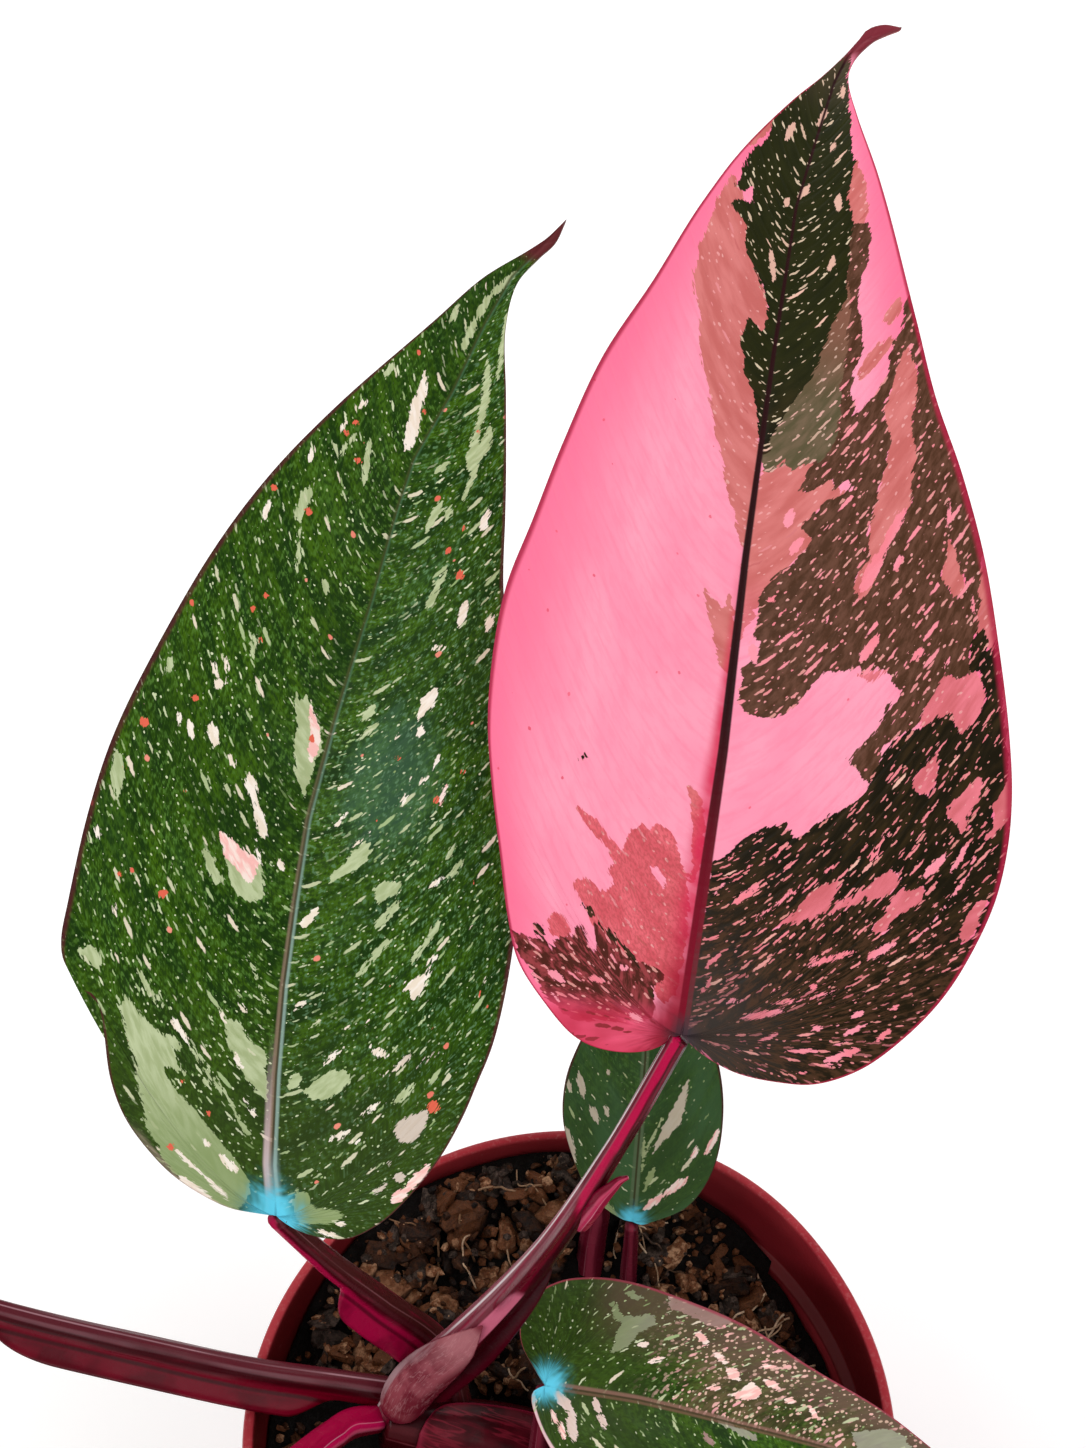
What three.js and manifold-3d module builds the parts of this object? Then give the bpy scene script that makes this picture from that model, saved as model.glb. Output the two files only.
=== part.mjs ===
// A potted pink naomi philodendron: five heart-shaped leaves on winged stalks, a rolled new leaf and a side
// shoot, growing from one short leaning stem in bark soil, in a round plastic nursery pot.
// Millimetres, +Z up. The origin is the centre of the pot's flat base, and the photograph looks along +Y.
import * as THREE from "three";
import { mergeVertices } from "three/addons/utils/BufferGeometryUtils.js";
import Module from "manifold-3d";

const wasm = await Module();
wasm.setup();

// Driving dimensions of the pot
const POT_HEIGHT = 112;
const RIM_RADIUS = 65;
const LIP_WIDTH = 2.3;
const COLLAR_DEPTH = 18;
const LEDGE_WIDTH = 2.5;
const WALL = 1.5;
const FLOOR = 2;
const FOOT_RADIUS = 46;
const POT_SIDES = 52;
const DRAIN_COUNT = 6;
const DRAIN_RADIUS = 4;
const DRAIN_CIRCLE = 32;
const BULGE = 1.5;
const BULGE_TURN = 1;
const BULGE_SPREAD = 0.38;
const LIP_SLOPE = 0.6;
const COLLAR_STEP = 2.6;

// Driving dimensions of the soil
const SOIL_LEVEL = 93;
const SOIL_BANK = 8;
const SOIL_RINGS = 7;
const SOIL_SIDES = 36;
const SOIL_REACH = 70;
const CHIP_COUNT = 76;
const CHIP_SEED = 11;
const CHIP_REACH = 56;
const GOLDEN_TURN = 2.39996;

// Driving dimensions of the plant
const BLADE = 0.7;
const GAP = 0.3;
const VEIN_LEAN = 0.7;
const FIRST_VEIN = 0.012;
const FAN_COLUMNS = 6;
const RIB_COLUMNS = 19;
const BLADE_ROWS = 4;
const MARGIN_POINTS = 400;
const VEIN_SPACING = 1.25;
const FOLD = 0.28;
const FOLD_ROUND = 2;
const CUP = 0.15;
const ARCH_POWER = 1.3;
const WAVE_COUNT = 3.5;
const STALK_SIDES = 10;
const WING_FOOT = 0.4;
const SHELL_COLUMNS = 8;
const FACING = new THREE.Vector3(0, -0.643, 0.766);

// Each margin runs from the notch at the stalk, round the lobe, to the tip: millimetres along the midrib,
// then across it, with the left half negative.
const LEAF_A = {
  base: [19, 33.5, 203.5],
  heading: 12.1,
  pitch: 42.5,
  roll: -3,
  length: 190,
  width: 48,
  arch: 30,
  wave: 0.5,
  left: [
    [0, 0], [-3.5, -5], [-4.5, -12], [-3, -18], [3, -25], [9, -30], [16, -32.8], [26, -35.7], [39, -39.5],
    [49, -41.8], [61, -42.8], [72, -42.4], [84, -39.9], [99, -37], [115, -33], [131.5, -26.3], [149, -20.4],
    [162, -15], [176, -7], [183, -2.4], [189, 1], [194, 3.4], [197, 4.8], [199.2, 8], [199.6, 11.3],
  ],
  right: [
    [0, 0], [-2.3, 3.7], [-4.4, 10], [-4.5, 18], [-3.5, 24], [0.5, 31], [7, 37.2], [14.5, 42.4], [22, 45.8],
    [32, 48.7], [41, 49.4], [50, 48.7], [60, 46.7], [73, 43.3], [89, 38.5], [103, 32.7], [116.5, 26.2],
    [131.5, 20.9], [148, 15.2], [160, 10.8], [174, 5.4], [184, 2.7], [189, 3.2], [194, 5.6], [197, 8],
    [199.6, 11.3],
  ],
  mid: [[0, 0], [50, -0.7], [85, -2.2], [123, -3], [153, -3.2], [168, -1.6], [183, 0.2], [190, 2],
    [195, 4.9], [199.6, 11.3]],
};
const LEAF_B = {
  base: [-53, 13, 175.5],
  heading: 17,
  pitch: 43.3,
  roll: -12,
  length: 190,
  width: 44,
  arch: 30,
  wave: 0.6,
  left: [
    [0, 0], [0, -7.5], [1.2, -12], [4, -18.3], [7, -22.7], [13, -29], [19.5, -33], [29.5, -36.6],
    [32.7, -38.3],
    [35.3, -42.2], [38, -45.3], [41.5, -46.6], [48.5, -46.9], [62.5, -46.8], [77, -45.5], [92, -42.4],
    [111.5, -36.9], [128, -30.2], [147, -20.3], [168, -7.6], [180, -0.4], [188.3, 6.3], [192.5, 9.3],
    [196.3, 11.2], [198.7, 12.3],
  ],
  right: [
    [0, 0], [-1.2, 3.8], [-1.4, 8.5], [0, 13.8], [4, 18.4], [8, 21.3], [17, 26], [25, 28.6], [32, 30],
    [40, 31.3],
    [55, 31.2], [72, 29], [90, 24.5], [104, 20.3], [118, 16], [131.5, 13.5], [139, 12.1], [155, 8.8],
    [169.5, 5.8],
    [181, 5.9], [188, 8.8], [192.5, 11.2], [198.7, 12.3],
  ],
  mid: [
    [0, 0], [9, -2.6], [25, -5.2], [41, -7.2], [56, -8.4], [71, -9.3], [90, -8.5], [112, -6.9], [130, -6.1],
    [140, -5.3], [155, -1.2], [170, 1.6], [182, 4.6], [190.4, 8.7], [198.7, 12.3],
  ],
};

// The margin of a smaller leaf, as shares of its length and of half its width
const PLAIN_HALF = [
  [0, 0], [-0.045, 0.14], [-0.06, 0.4], [-0.01, 0.72], [0.09, 0.93], [0.21, 1], [0.33, 0.965], [0.46, 0.83],
  [0.6, 0.62], [0.73, 0.4], [0.85, 0.19], [0.93, 0.07], [1, 0],
];
const LEAF_C = {
  base: [-121, 7, 161],
  heading: -97,
  pitch: 16,
  roll: 12,
  length: 158,
  width: 40,
  arch: 48,
  wave: 0.8,
};
const LEAF_D = {
  base: [-4.8, 4.2, 120],
  heading: 104,
  pitch: 9,
  roll: 4,
  length: 95,
  width: 24,
  arch: 24,
  wave: 0.4,
  left: [
    [0, 0], [-3, -3], [-6.5, -7], [-7.8, -11], [-6.4, -17.5], [-2, -21.6], [4, -23.3], [14, -23.5],
    [27, -21.7],
    [39.5, -18.2], [48, -15.1], [58, -11.9], [67, -8.9], [76, -5.6], [84, -2.7], [91, -0.8], [96, 0],
  ],
  right: [
    [0, 0], [-1.8, 2], [-1.6, 4], [0.6, 8], [4.8, 13.4], [11, 18.6], [20, 22.5], [31, 23.8], [43, 22.2],
    [55, 18.3],
    [67, 12.8], [78, 7], [88, 2.4], [96, 0],
  ],
  mid: [[0, 0], [19, -0.6], [39, -0.1], [96, 0]],
};
const LEAF_F = {
  base: [13.6, 41, 116],
  heading: 4,
  pitch: 46,
  roll: 2,
  length: 57,
  width: 17.5,
  arch: 22,
  wave: 0.3,
  left: [
    [0, 0], [0.4, -2], [2, -4.4], [5.5, -8.8], [12.7, -12.9], [21, -15.6], [29.3, -15.6], [36.5, -13.4],
    [45, -9],
    [52, -3.6], [57, 0],
  ],
  right: [
    [0, 0], [-0.3, 2], [0.7, 4.3], [5.2, 11.8], [13, 16.3], [25.6, 17.7], [36.8, 15.5], [45, 11],
    [52, 4.6], [57, 0],
  ],
  mid: [[0, 0], [20, 0.5], [35, 0.8], [57, 0]],
};

// Stalk routes, from the stem to just below each leaf, with the radius at each point
const STALK_A = {
  route: [
    [-35, 5.5, 103.2], [-30.6, 8.2, 112], [-19.5, 11.1, 128], [-3.8, 16.7, 156], [8.3, 24, 182],
    [18.6, 33.2, 202.9],
  ],
  radius: [4.4, 4.3, 4.1, 2.6, 1.9, 1.9],
};
const STALK_B = {
  route: [[-23, 8.5, 99], [-26.3, 16, 109], [-37.4, 17.2, 130], [-45.4, 15, 152], [-52.7, 13, 174.9]],
  radius: [3.3, 3.2, 2.8, 2.4, 2],
};
const STALK_C = {
  route: [
    [-37.6, 9.2, 104], [-45.5, 8.9, 108], [-63.7, 8, 117.5], [-85.5, 7.8, 131], [-106.5, 6.6, 148.5],
    [-120.4, 6.8, 160.6],
  ],
  radius: [3.2, 3, 2.8, 2.6, 2.3, 2],
};
const STALK_D = {
  route: [[-6.6, -2.6, 90], [-6, -2.2, 103], [-5.4, 0.6, 111], [-5, 3.6, 119]],
  radius: [2.3, 2.1, 1.9, 1.7],
};
const STALK_F = {
  route: [[13, 34.5, 84], [13.2, 36.2, 93], [13.4, 38.7, 105], [13.5, 40.6, 115.2]],
  radius: [2, 1.9, 1.7, 1.4],
};
const STEM = {
  route: [[-37.5, 3.2, 102.5], [-30, 3, 100], [-20, 3.2, 96.5], [-9, 3, 91], [1, 2.2, 82], [6, 1.6, 68]],
  radius: [4.6, 6, 7, 7.6, 7.2, 6.4],
};
const SPIKE = {
  route: [
    [-38.9, 4, 103], [-43.7, 1.2, 108], [-47, -3.2, 113], [-50.6, -8.8, 119.5], [-54, -15, 128],
    [-57.5, -23, 139],
    [-61, -32, 152],
  ],
  radius: [2.8, 3, 3, 2.8, 2.4, 1.7, 0.5],
};
const SIDE_SHOOT = {
  route: [[3.6, 34.5, 84], [4.6, 38.2, 93], [5.4, 42.7, 101], [6.6, 46.4, 109], [7.9, 49.2, 115.5]],
  radius: [3.4, 3.1, 3, 2.6, 0.8],
};

// The small hooked end of the first stalk's sheath
const HOOK = [
  [1.7, 18.2, 162], [3.6, 18.3, 167.3], [5.4, 18.4, 172], [7.2, 18.6, 175.4], [8.7, 18.7, 178],
  [10.1, 18.9, 178.8],
];

// Flat wings beside the stalks: where each starts and ends as a share of its route, how far it reaches out
// and in which direction, and the share of it over which its far end narrows
const WINGS_A = [
  { from: 0.06, to: 0.5, reach: 2.8, thick: 1.4, side: 0.85, front: 0.35, taper: 0.5, stations: 12 },
  { from: 0.36, to: 0.66, reach: 1.6, thick: 1.3, side: -0.2, front: 1, taper: 0.3, stations: 9 },
];
const WINGS_B = [
  { from: 0.12, to: 0.6, reach: 4.8, thick: 1.2, side: -0.85, front: 0.5, taper: 0.2, stations: 10 },
];
const WINGS_C = [
  { from: 0.1, to: 0.83, reach: 4.6, thick: 1.5, side: -0.85, front: 0.5, taper: 0.2, stations: 15 },
];

// Sheaths round the foot of the first stalk and round the stem; the first one narrows upwards
const CATAPHYLL = {
  from: 0.02, to: 0.33, turn: 1.8, lean: -0.1, spread: 1.4, narrow: 0.65, thick: 0.9, clear: 0.3,
  stations: 10,
};
const OLD_SHEATH = {
  from: 0.1, to: 0.66, turn: 1.5, lean: 0, spread: 1.3, narrow: 0, thick: 1.1, clear: 0.5, stations: 12,
};

// Random numbers from 0 to 1 that repeat on each run
function seeded(seed) {
  let state = seed;
  return () => {
    state = (Math.imul(state, 1664525) + 1013904223) >>> 0;
    return state / 4294967296;
  };
}

function interpolate(xs, ys, x) {
  if (x <= xs[0]) return ys[0];
  for (let i = 1; i < xs.length; i++) {
    if (x <= xs[i]) return ys[i - 1] + ((ys[i] - ys[i - 1]) * (x - xs[i - 1])) / (xs[i] - xs[i - 1]);
  }
  return ys[ys.length - 1];
}

// A closed mesh as a solid, turned to face out
function solidFrom(geometry) {
  const bare = geometry.index ? geometry.toNonIndexed() : geometry.clone();
  bare.deleteAttribute("normal");
  bare.deleteAttribute("uv");
  const merged = mergeVertices(bare, 1e-4);
  const corners = merged.index.array;
  const kept = [];
  for (let i = 0; i < corners.length; i += 3) {
    const [a, b, c] = [corners[i], corners[i + 1], corners[i + 2]];
    if (a !== b && b !== c && c !== a) kept.push(a, b, c);
  }
  const build = (order) =>
    new wasm.Manifold(
      new wasm.Mesh({
        numProp: 3, vertProperties: merged.attributes.position.array, triVerts: new Uint32Array(order),
      }),
    );
  const solid = build(kept);
  if (solid.volume() > 0) return solid;
  for (let i = 0; i < kept.length; i += 3) [kept[i + 1], kept[i + 2]] = [kept[i + 2], kept[i + 1]];
  return build(kept);
}

function geometryFrom(points, triangles) {
  const geometry = new THREE.BufferGeometry();
  const places = points.flatMap((p) => [p.x, p.y, p.z]);
  geometry.setAttribute("position", new THREE.Float32BufferAttribute(places, 3));
  geometry.setIndex(triangles);
  return geometry;
}

// The largest body of a solid, so that a scrap left by a cut is dropped
function largest(solid) {
  return solid.decompose().sort((a, b) => b.volume() - a.volume())[0];
}

function meshOf(name, solid, material) {
  const made = solid.getMesh();
  const geometry = new THREE.BufferGeometry();
  geometry.setAttribute("position", new THREE.BufferAttribute(new Float32Array(made.vertProperties), 3));
  geometry.setIndex(new THREE.BufferAttribute(new Uint32Array(made.triVerts), 1));
  geometry.computeVertexNormals();
  const mesh = new THREE.Mesh(geometry, material);
  mesh.name = name;
  return mesh;
}

function oval(sides, halfSide, halfFront, side = 0, front = 0) {
  return Array.from({ length: sides }, (_, i) => {
    const turn = (2 * Math.PI * i) / sides;
    return [side + halfSide * Math.cos(turn), front + halfFront * Math.sin(turn)];
  });
}

// A solid skinned over sections along a route. A section's points are given across the route (side) and
// towards the viewer (front).
function loft(route, stations, section, from = 0, to = 1) {
  const curve = new THREE.CatmullRomCurve3(route.map((p) => new THREE.Vector3(...p)));
  const points = [];
  const triangles = [];
  let flat = [];
  for (let i = 0; i <= stations; i++) {
    const share = from + ((to - from) * i) / stations;
    const centre = curve.getPointAt(share);
    const along = curve.getTangentAt(share);
    const side = new THREE.Vector3().crossVectors(along, FACING).normalize();
    const front = new THREE.Vector3().crossVectors(side, along);
    flat = section(share);
    for (const [a, b] of flat) points.push(centre.clone().addScaledVector(side, a).addScaledVector(front, b));
  }
  const count = flat.length;
  for (let i = 0; i < stations; i++) {
    for (let j = 0; j < count; j++) {
      const next = (j + 1) % count;
      const [a, b, c, d] = [i * count + j, i * count + next, (i + 1) * count + next, (i + 1) * count + j];
      triangles.push(a, b, c, a, c, d);
    }
  }
  for (const [end, shareAt] of [[0, from], [stations, to]]) {
    const outline = section(shareAt).map(([a, b]) => new THREE.Vector2(a, b));
    for (const [a, b, c] of THREE.ShapeUtils.triangulateShape(outline, [])) {
      const at = end * count;
      if (end === 0) triangles.push(at + c, at + b, at + a);
      else triangles.push(at + a, at + b, at + c);
    }
  }
  return solidFrom(geometryFrom(points, triangles));
}

// The radius of a stalk at a share of its route
function radiusAt(stalk, share) {
  const last = stalk.radius.length - 1;
  const curve = new THREE.CatmullRomCurve3(stalk.route.map((p) => new THREE.Vector3(...p)));
  const lengths = curve.getLengths(last * 20);
  const shares = stalk.radius.map((_, i) => lengths[i * 20] / lengths[lengths.length - 1]);
  return interpolate(shares, stalk.radius, share);
}

// A round stalk, thicker by grow where it is used to cut a clear seat
function stalkSolid(stalk, stations, grow = 0) {
  const section = (share) => {
    const radius = radiusAt(stalk, share) + grow;
    return oval(STALK_SIDES, radius, radius);
  };
  return loft(stalk.route, stations, section);
}

// A flat wing beside a stalk, from one share of its route to another: wing.side and wing.front give the
// direction from the stalk's axis, and its far end is rounded over its taper.
function wingSolid(stalk, wing, grow = 0) {
  const section = (share) => {
    const run = (share - wing.from) / (wing.to - wing.from);
    const end = Math.max(0, (run - 1 + wing.taper) / wing.taper);
    const round = Math.sqrt(Math.max(0.02, 1 - end * end));
    const reach = wing.reach * round;
    const foot = WING_FOOT * radiusAt(stalk, share);
    const middle = radiusAt(stalk, share) - foot + reach / 2;
    const turn = Math.atan2(wing.front, wing.side);
    return oval(STALK_SIDES, reach / 2 + foot + grow, wing.thick * round + grow).map(([a, b]) => [
      (a + middle) * Math.cos(turn) - b * Math.sin(turn),
      (a + middle) * Math.sin(turn) + b * Math.cos(turn),
    ]);
  };
  return loft(stalk.route, wing.stations, section, wing.from, wing.to);
}

// A thin curved shell round part of a stalk, open along one side
function shellSolid(stalk, shell, grow = 0) {
  const extra = grow / 50;
  const section = (share) => {
    const run = Math.min(1, Math.max(0, (share - shell.from) / (shell.to - shell.from)));
    const rounded = Math.sqrt(Math.max(0.05, 1 - Math.pow(Math.abs(2 * run - 1), 5)));
    const inner = radiusAt(stalk, share) + shell.clear - grow;
    const outer = radiusAt(stalk, share) + shell.clear + shell.thick + grow;
    const spread = shell.spread * (1 - shell.narrow * run * run) * rounded + (1.5 * grow) / inner;
    const last = SHELL_COLUMNS - 1;
    const arc = (radius, backwards) =>
      Array.from({ length: SHELL_COLUMNS }, (_, i) => {
        const part = (backwards ? last - i : i) / last;
        const turn = shell.turn + shell.lean * run + spread * (2 * part - 1);
        return [radius * Math.cos(turn), radius * Math.sin(turn)];
      });
    return [...arc(outer, false), ...arc(inner, true)];
  };
  return loft(stalk.route, shell.stations, section, Math.max(0, shell.from - extra), shell.to + extra);
}

// A leaf's own outline, or the plain one at its size
function margins(leaf) {
  if (leaf.left) return leaf;
  const half = (sign) => PLAIN_HALF.map(([x, y]) => [x * leaf.length, sign * y * leaf.width]);
  return { left: half(-1), right: half(1), mid: [[0, 0], [leaf.length, 0]] };
}

function smooth(outline, count) {
  const curve = new THREE.CatmullRomCurve3(outline.map(([x, y]) => new THREE.Vector3(x, y, 0)));
  return curve.getSpacedPoints(count);
}

// A function from a place on the flat leaf to its place in space: the midrib arches over along its length,
// the halves fold up a little from it, and the margins wave.
function bladeSurface(leaf) {
  const angles = [leaf.heading, leaf.pitch, leaf.roll, leaf.arch];
  const [heading, pitch, roll, arch] = angles.map(THREE.MathUtils.degToRad);
  const level = new THREE.Vector3(Math.sin(heading), Math.cos(heading), 0);
  const across = new THREE.Vector3(Math.cos(heading), -Math.sin(heading), 0);
  const up = new THREE.Vector3(0, 0, 1);
  const along = level.clone().multiplyScalar(Math.cos(pitch)).addScaledVector(up, Math.sin(pitch));
  const lift = level.clone().multiplyScalar(-Math.sin(pitch)).addScaledVector(up, Math.cos(pitch));
  const side = across.clone().multiplyScalar(Math.cos(roll)).addScaledVector(lift, Math.sin(roll));
  const normal = across.clone().multiplyScalar(-Math.sin(roll)).addScaledVector(lift, Math.cos(roll));
  const base = new THREE.Vector3(...leaf.base);
  const droop = (x) => -arch * Math.pow(Math.max(0, x / leaf.length), ARCH_POWER);
  const reach = [0];
  const rise = [0];
  for (let x = 1; x < 1.1 * leaf.length; x++) {
    reach.push(reach[x - 1] + Math.cos(droop(x - 0.5)));
    rise.push(rise[x - 1] + Math.sin(droop(x - 0.5)));
  }
  const at = (list, x) => {
    const whole = Math.min(Math.floor(x), list.length - 2);
    return list[whole] + (list[whole + 1] - list[whole]) * (x - whole);
  };
  const { mid } = margins(leaf);
  const midX = mid.map((p) => p[0]);
  const midY = mid.map((p) => p[1]);
  const point = (x, y, edge) => {
    const bend = droop(x);
    const away = y - interpolate(midX, midY, x);
    const folded = FOLD * (Math.hypot(away, FOLD_ROUND) - FOLD_ROUND);
    const cupped = (CUP * away * away) / leaf.width;
    const turn = (2 * Math.PI * WAVE_COUNT * x) / leaf.length + Math.sign(away);
    const high = folded - cupped + leaf.wave * edge * edge * Math.sin(turn);
    const forward = (x < 0 ? x : at(reach, x)) - high * Math.sin(bend);
    const upward = (x < 0 ? 0 : at(rise, x)) + high * Math.cos(bend);
    const place = base.clone().addScaledVector(along, forward);
    return place.addScaledVector(normal, upward).addScaledVector(side, y);
  };
  return { point, rib: (x) => interpolate(midX, midY, x) };
}

// Columns of places on one half of a blade. The first ones fan out from the stalk over the lobe, and the
// others leave the midrib one by one and lean towards the tip, as the side veins do.
function halfColumns(leaf, outline, rib) {
  const edge = smooth(outline, MARGIN_POINTS);
  const starts = [];
  let furthest = 0;
  for (const p of edge) {
    furthest = Math.max(furthest, p.x - VEIN_LEAN * Math.abs(p.y - rib(p.x)));
    starts.push(furthest);
  }
  const tip = edge[edge.length - 1];
  const columns = [];
  const place = (start) => edge[starts.findIndex((other) => other >= start)];
  const fanEnd = starts.findIndex((start) => start >= FIRST_VEIN * tip.x);
  for (let i = 0; i < FAN_COLUMNS; i++) columns.push([0, edge[Math.round((fanEnd * i) / FAN_COLUMNS)]]);
  for (let i = 0; i < RIB_COLUMNS; i++) {
    const share = 1 - Math.pow(1 - i / RIB_COLUMNS, VEIN_SPACING);
    const start = tip.x * (FIRST_VEIN + (1 - FIRST_VEIN) * share);
    columns.push([start, place(start)]);
  }
  return [...columns, [tip.x, tip]];
}

// A blade as a closed thin solid, with the same triangles on its upper and lower faces
function bladeSolid(leaf, thickness = BLADE) {
  const { point, rib } = bladeSurface(leaf);
  const outline = margins(leaf);
  const last = FAN_COLUMNS + RIB_COLUMNS;
  const points = [];
  const triangles = [];
  const known = new Map();
  const margin = [];
  for (const [sign, half] of [[1, outline.left], [-1, outline.right]]) {
    const columns = halfColumns(leaf, half, rib);
    const add = (i, j) => {
      const [start, edge] = columns[i];
      let name = `${sign} ${i} ${j}`;
      if (i === 0 || (j === 0 && i < FAN_COLUMNS)) name = "base";
      else if (i === last) name = "tip";
      else if (j === 0) name = `rib ${i}`;
      if (!known.has(name)) {
        const share = name === "base" ? 0 : j / BLADE_ROWS;
        const x = start + (edge.x - start) * share;
        const y = rib(start) + (edge.y - rib(start)) * share;
        known.set(name, points.length);
        points.push(point(x, y, share));
      }
      return known.get(name);
    };
    for (let i = 0; i < last; i++) {
      for (let j = 0; j < BLADE_ROWS; j++) {
        const [a, b, c, d] = [add(i, j), add(i, j + 1), add(i + 1, j + 1), add(i + 1, j)];
        const pair = sign > 0 ? [[a, d, c], [a, c, b]] : [[a, c, d], [a, b, c]];
        triangles.push(...pair.filter(([p, q, r]) => p !== q && q !== r && r !== p));
      }
    }
    margin.push(columns.map((_, i) => add(i, BLADE_ROWS)));
  }
  return thicken(points, triangles, [...margin[0], ...margin[1].reverse().slice(1, -1)], thickness);
}

// An open sheet made into a closed solid of even thickness
function thicken(points, triangles, loop, thickness) {
  const sheet = geometryFrom(points, triangles.flat());
  sheet.computeVertexNormals();
  const count = points.length;
  const normal = (i) => new THREE.Vector3().fromBufferAttribute(sheet.attributes.normal, i);
  const shifted = (distance) => points.map((p, i) => p.clone().addScaledVector(normal(i), distance));
  const faces = triangles.flatMap(([a, b, c]) => [a, b, c, a + count, c + count, b + count]);
  loop.forEach((a, i) => {
    const b = loop[(i + 1) % loop.length];
    faces.push(a, b, b + count, a, b + count, a + count);
  });
  return solidFrom(geometryFrom([...shifted(thickness / 2), ...shifted(-thickness / 2)], faces));
}

// How far the soft rim is pushed out at one place round it
function potBulge(turn, z) {
  const nearness = Math.exp(-Math.pow((turn - BULGE_TURN) / BULGE_SPREAD, 2));
  return BULGE * nearness * Math.pow(Math.max(0, z / POT_HEIGHT), 2);
}

// The pot's wall, from the outside of the base round the lip to the inside floor
function potSolid() {
  const collarFoot = POT_HEIGHT - COLLAR_DEPTH;
  const lipInner = RIM_RADIUS - LIP_WIDTH;
  const ledgeInner = lipInner - LIP_SLOPE - LEDGE_WIDTH;
  const profile = [
    [0, 0], [FOOT_RADIUS - 1.2, 0], [FOOT_RADIUS, 1.2], [ledgeInner + WALL - 0.3, collarFoot - 3.5],
    [RIM_RADIUS - 1.4, collarFoot - COLLAR_STEP], [RIM_RADIUS - 1, collarFoot - 1],
    [RIM_RADIUS, POT_HEIGHT - 1],
    [RIM_RADIUS - 0.5, POT_HEIGHT], [lipInner + 0.4, POT_HEIGHT], [lipInner, POT_HEIGHT - 0.5],
    [lipInner - LIP_SLOPE, collarFoot + 0.6], [ledgeInner, collarFoot], [FOOT_RADIUS - WALL, FLOOR + 1.5],
    [FOOT_RADIUS - WALL - 1.5, FLOOR], [0, FLOOR],
  ];
  const wall = new THREE.LatheGeometry(profile.map(([r, z]) => new THREE.Vector2(r, z)), POT_SIDES);
  wall.rotateX(Math.PI / 2);
  const place = wall.attributes.position;
  for (let i = 0; i < place.count; i++) {
    const [x, y, z] = [place.getX(i), place.getY(i), place.getZ(i)];
    const stretch = 1 + potBulge(Math.atan2(y, x), z) / RIM_RADIUS;
    place.setXY(i, x * stretch, y * stretch);
  }
  let pot = solidFrom(wall);
  for (let i = 0; i < DRAIN_COUNT; i++) {
    const turn = (2 * Math.PI * i) / DRAIN_COUNT;
    const hole = new THREE.CylinderGeometry(DRAIN_RADIUS, DRAIN_RADIUS, 4 * FLOOR, 12);
    hole.rotateX(Math.PI / 2);
    hole.translate(DRAIN_CIRCLE * Math.cos(turn), DRAIN_CIRCLE * Math.sin(turn), FLOOR / 2);
    pot = pot.subtract(solidFrom(hole));
  }
  return pot;
}

// The soil's surface height: low mounds on a slope down to the right, and a bank against the back of the rim
function soilHeight(x, y) {
  const bank = THREE.MathUtils.smoothstep(0.985 * y - 0.17 * x, 28, 60);
  const mounds = 0.6 * Math.sin(0.13 * x + 1) * Math.cos(0.11 * y) + 0.5 * Math.sin(0.31 * y - 0.2 * x);
  return SOIL_LEVEL + 0.1 * y - 0.07 * x + SOIL_BANK * bank + mounds;
}

// The inside of the pot as a plug, clear of the wall all round
function soilPlug() {
  const ledge = POT_HEIGHT - COLLAR_DEPTH;
  const collar = RIM_RADIUS - LIP_WIDTH - LIP_SLOPE - 1.5 * GAP;
  const clear = collar - LEDGE_WIDTH;
  const foot = FOOT_RADIUS - WALL - 2 * GAP;
  const profile = [
    [0, FLOOR + GAP], [foot - 1.6, FLOOR + GAP], [foot, FLOOR + 2.2], [clear, ledge], [clear, ledge + 0.9],
    [collar, ledge + 1.2], [collar, POT_HEIGHT - 1.5], [0, POT_HEIGHT - 1.5],
  ];
  const plug = new THREE.LatheGeometry(profile.map(([r, z]) => new THREE.Vector2(r, z)), POT_SIDES);
  plug.rotateX(Math.PI / 2);
  return solidFrom(plug);
}

// The soil's bumpy upper part, as a disc with a waved top
function soilMound() {
  const rings = SOIL_RINGS;
  const sides = SOIL_SIDES;
  const points = [];
  const triangles = [];
  const place = (r, turn, top) => {
    const [x, y] = [r * Math.cos(turn), r * Math.sin(turn)];
    points.push(new THREE.Vector3(x, y, top ? soilHeight(x, y) : -5));
  };
  for (const top of [true, false]) {
    place(0, 0, top);
    for (let i = 1; i <= rings; i++) {
      for (let j = 0; j < sides; j++) place((SOIL_REACH * i) / rings, (2 * Math.PI * j) / sides, top);
    }
  }
  const half = points.length / 2;
  for (const [at, flip] of [[0, false], [half, true]]) {
    const add = (a, b, c) => (flip ? triangles.push(a, c, b) : triangles.push(a, b, c));
    for (let j = 0; j < sides; j++) {
      const next = (j + 1) % sides;
      add(at, at + 1 + j, at + 1 + next);
      for (let i = 0; i + 1 < rings; i++) {
        const [inner, outer] = [at + 1 + i * sides, at + 1 + (i + 1) * sides];
        add(inner + j, outer + j, outer + next);
        add(inner + j, outer + next, inner + next);
      }
    }
  }
  const brim = 1 + (rings - 1) * sides;
  for (let j = 0; j < sides; j++) {
    const next = (j + 1) % sides;
    triangles.push(brim + j, half + brim + j, half + brim + next, brim + j, half + brim + next, brim + next);
  }
  return solidFrom(geometryFrom(points, triangles));
}

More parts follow.
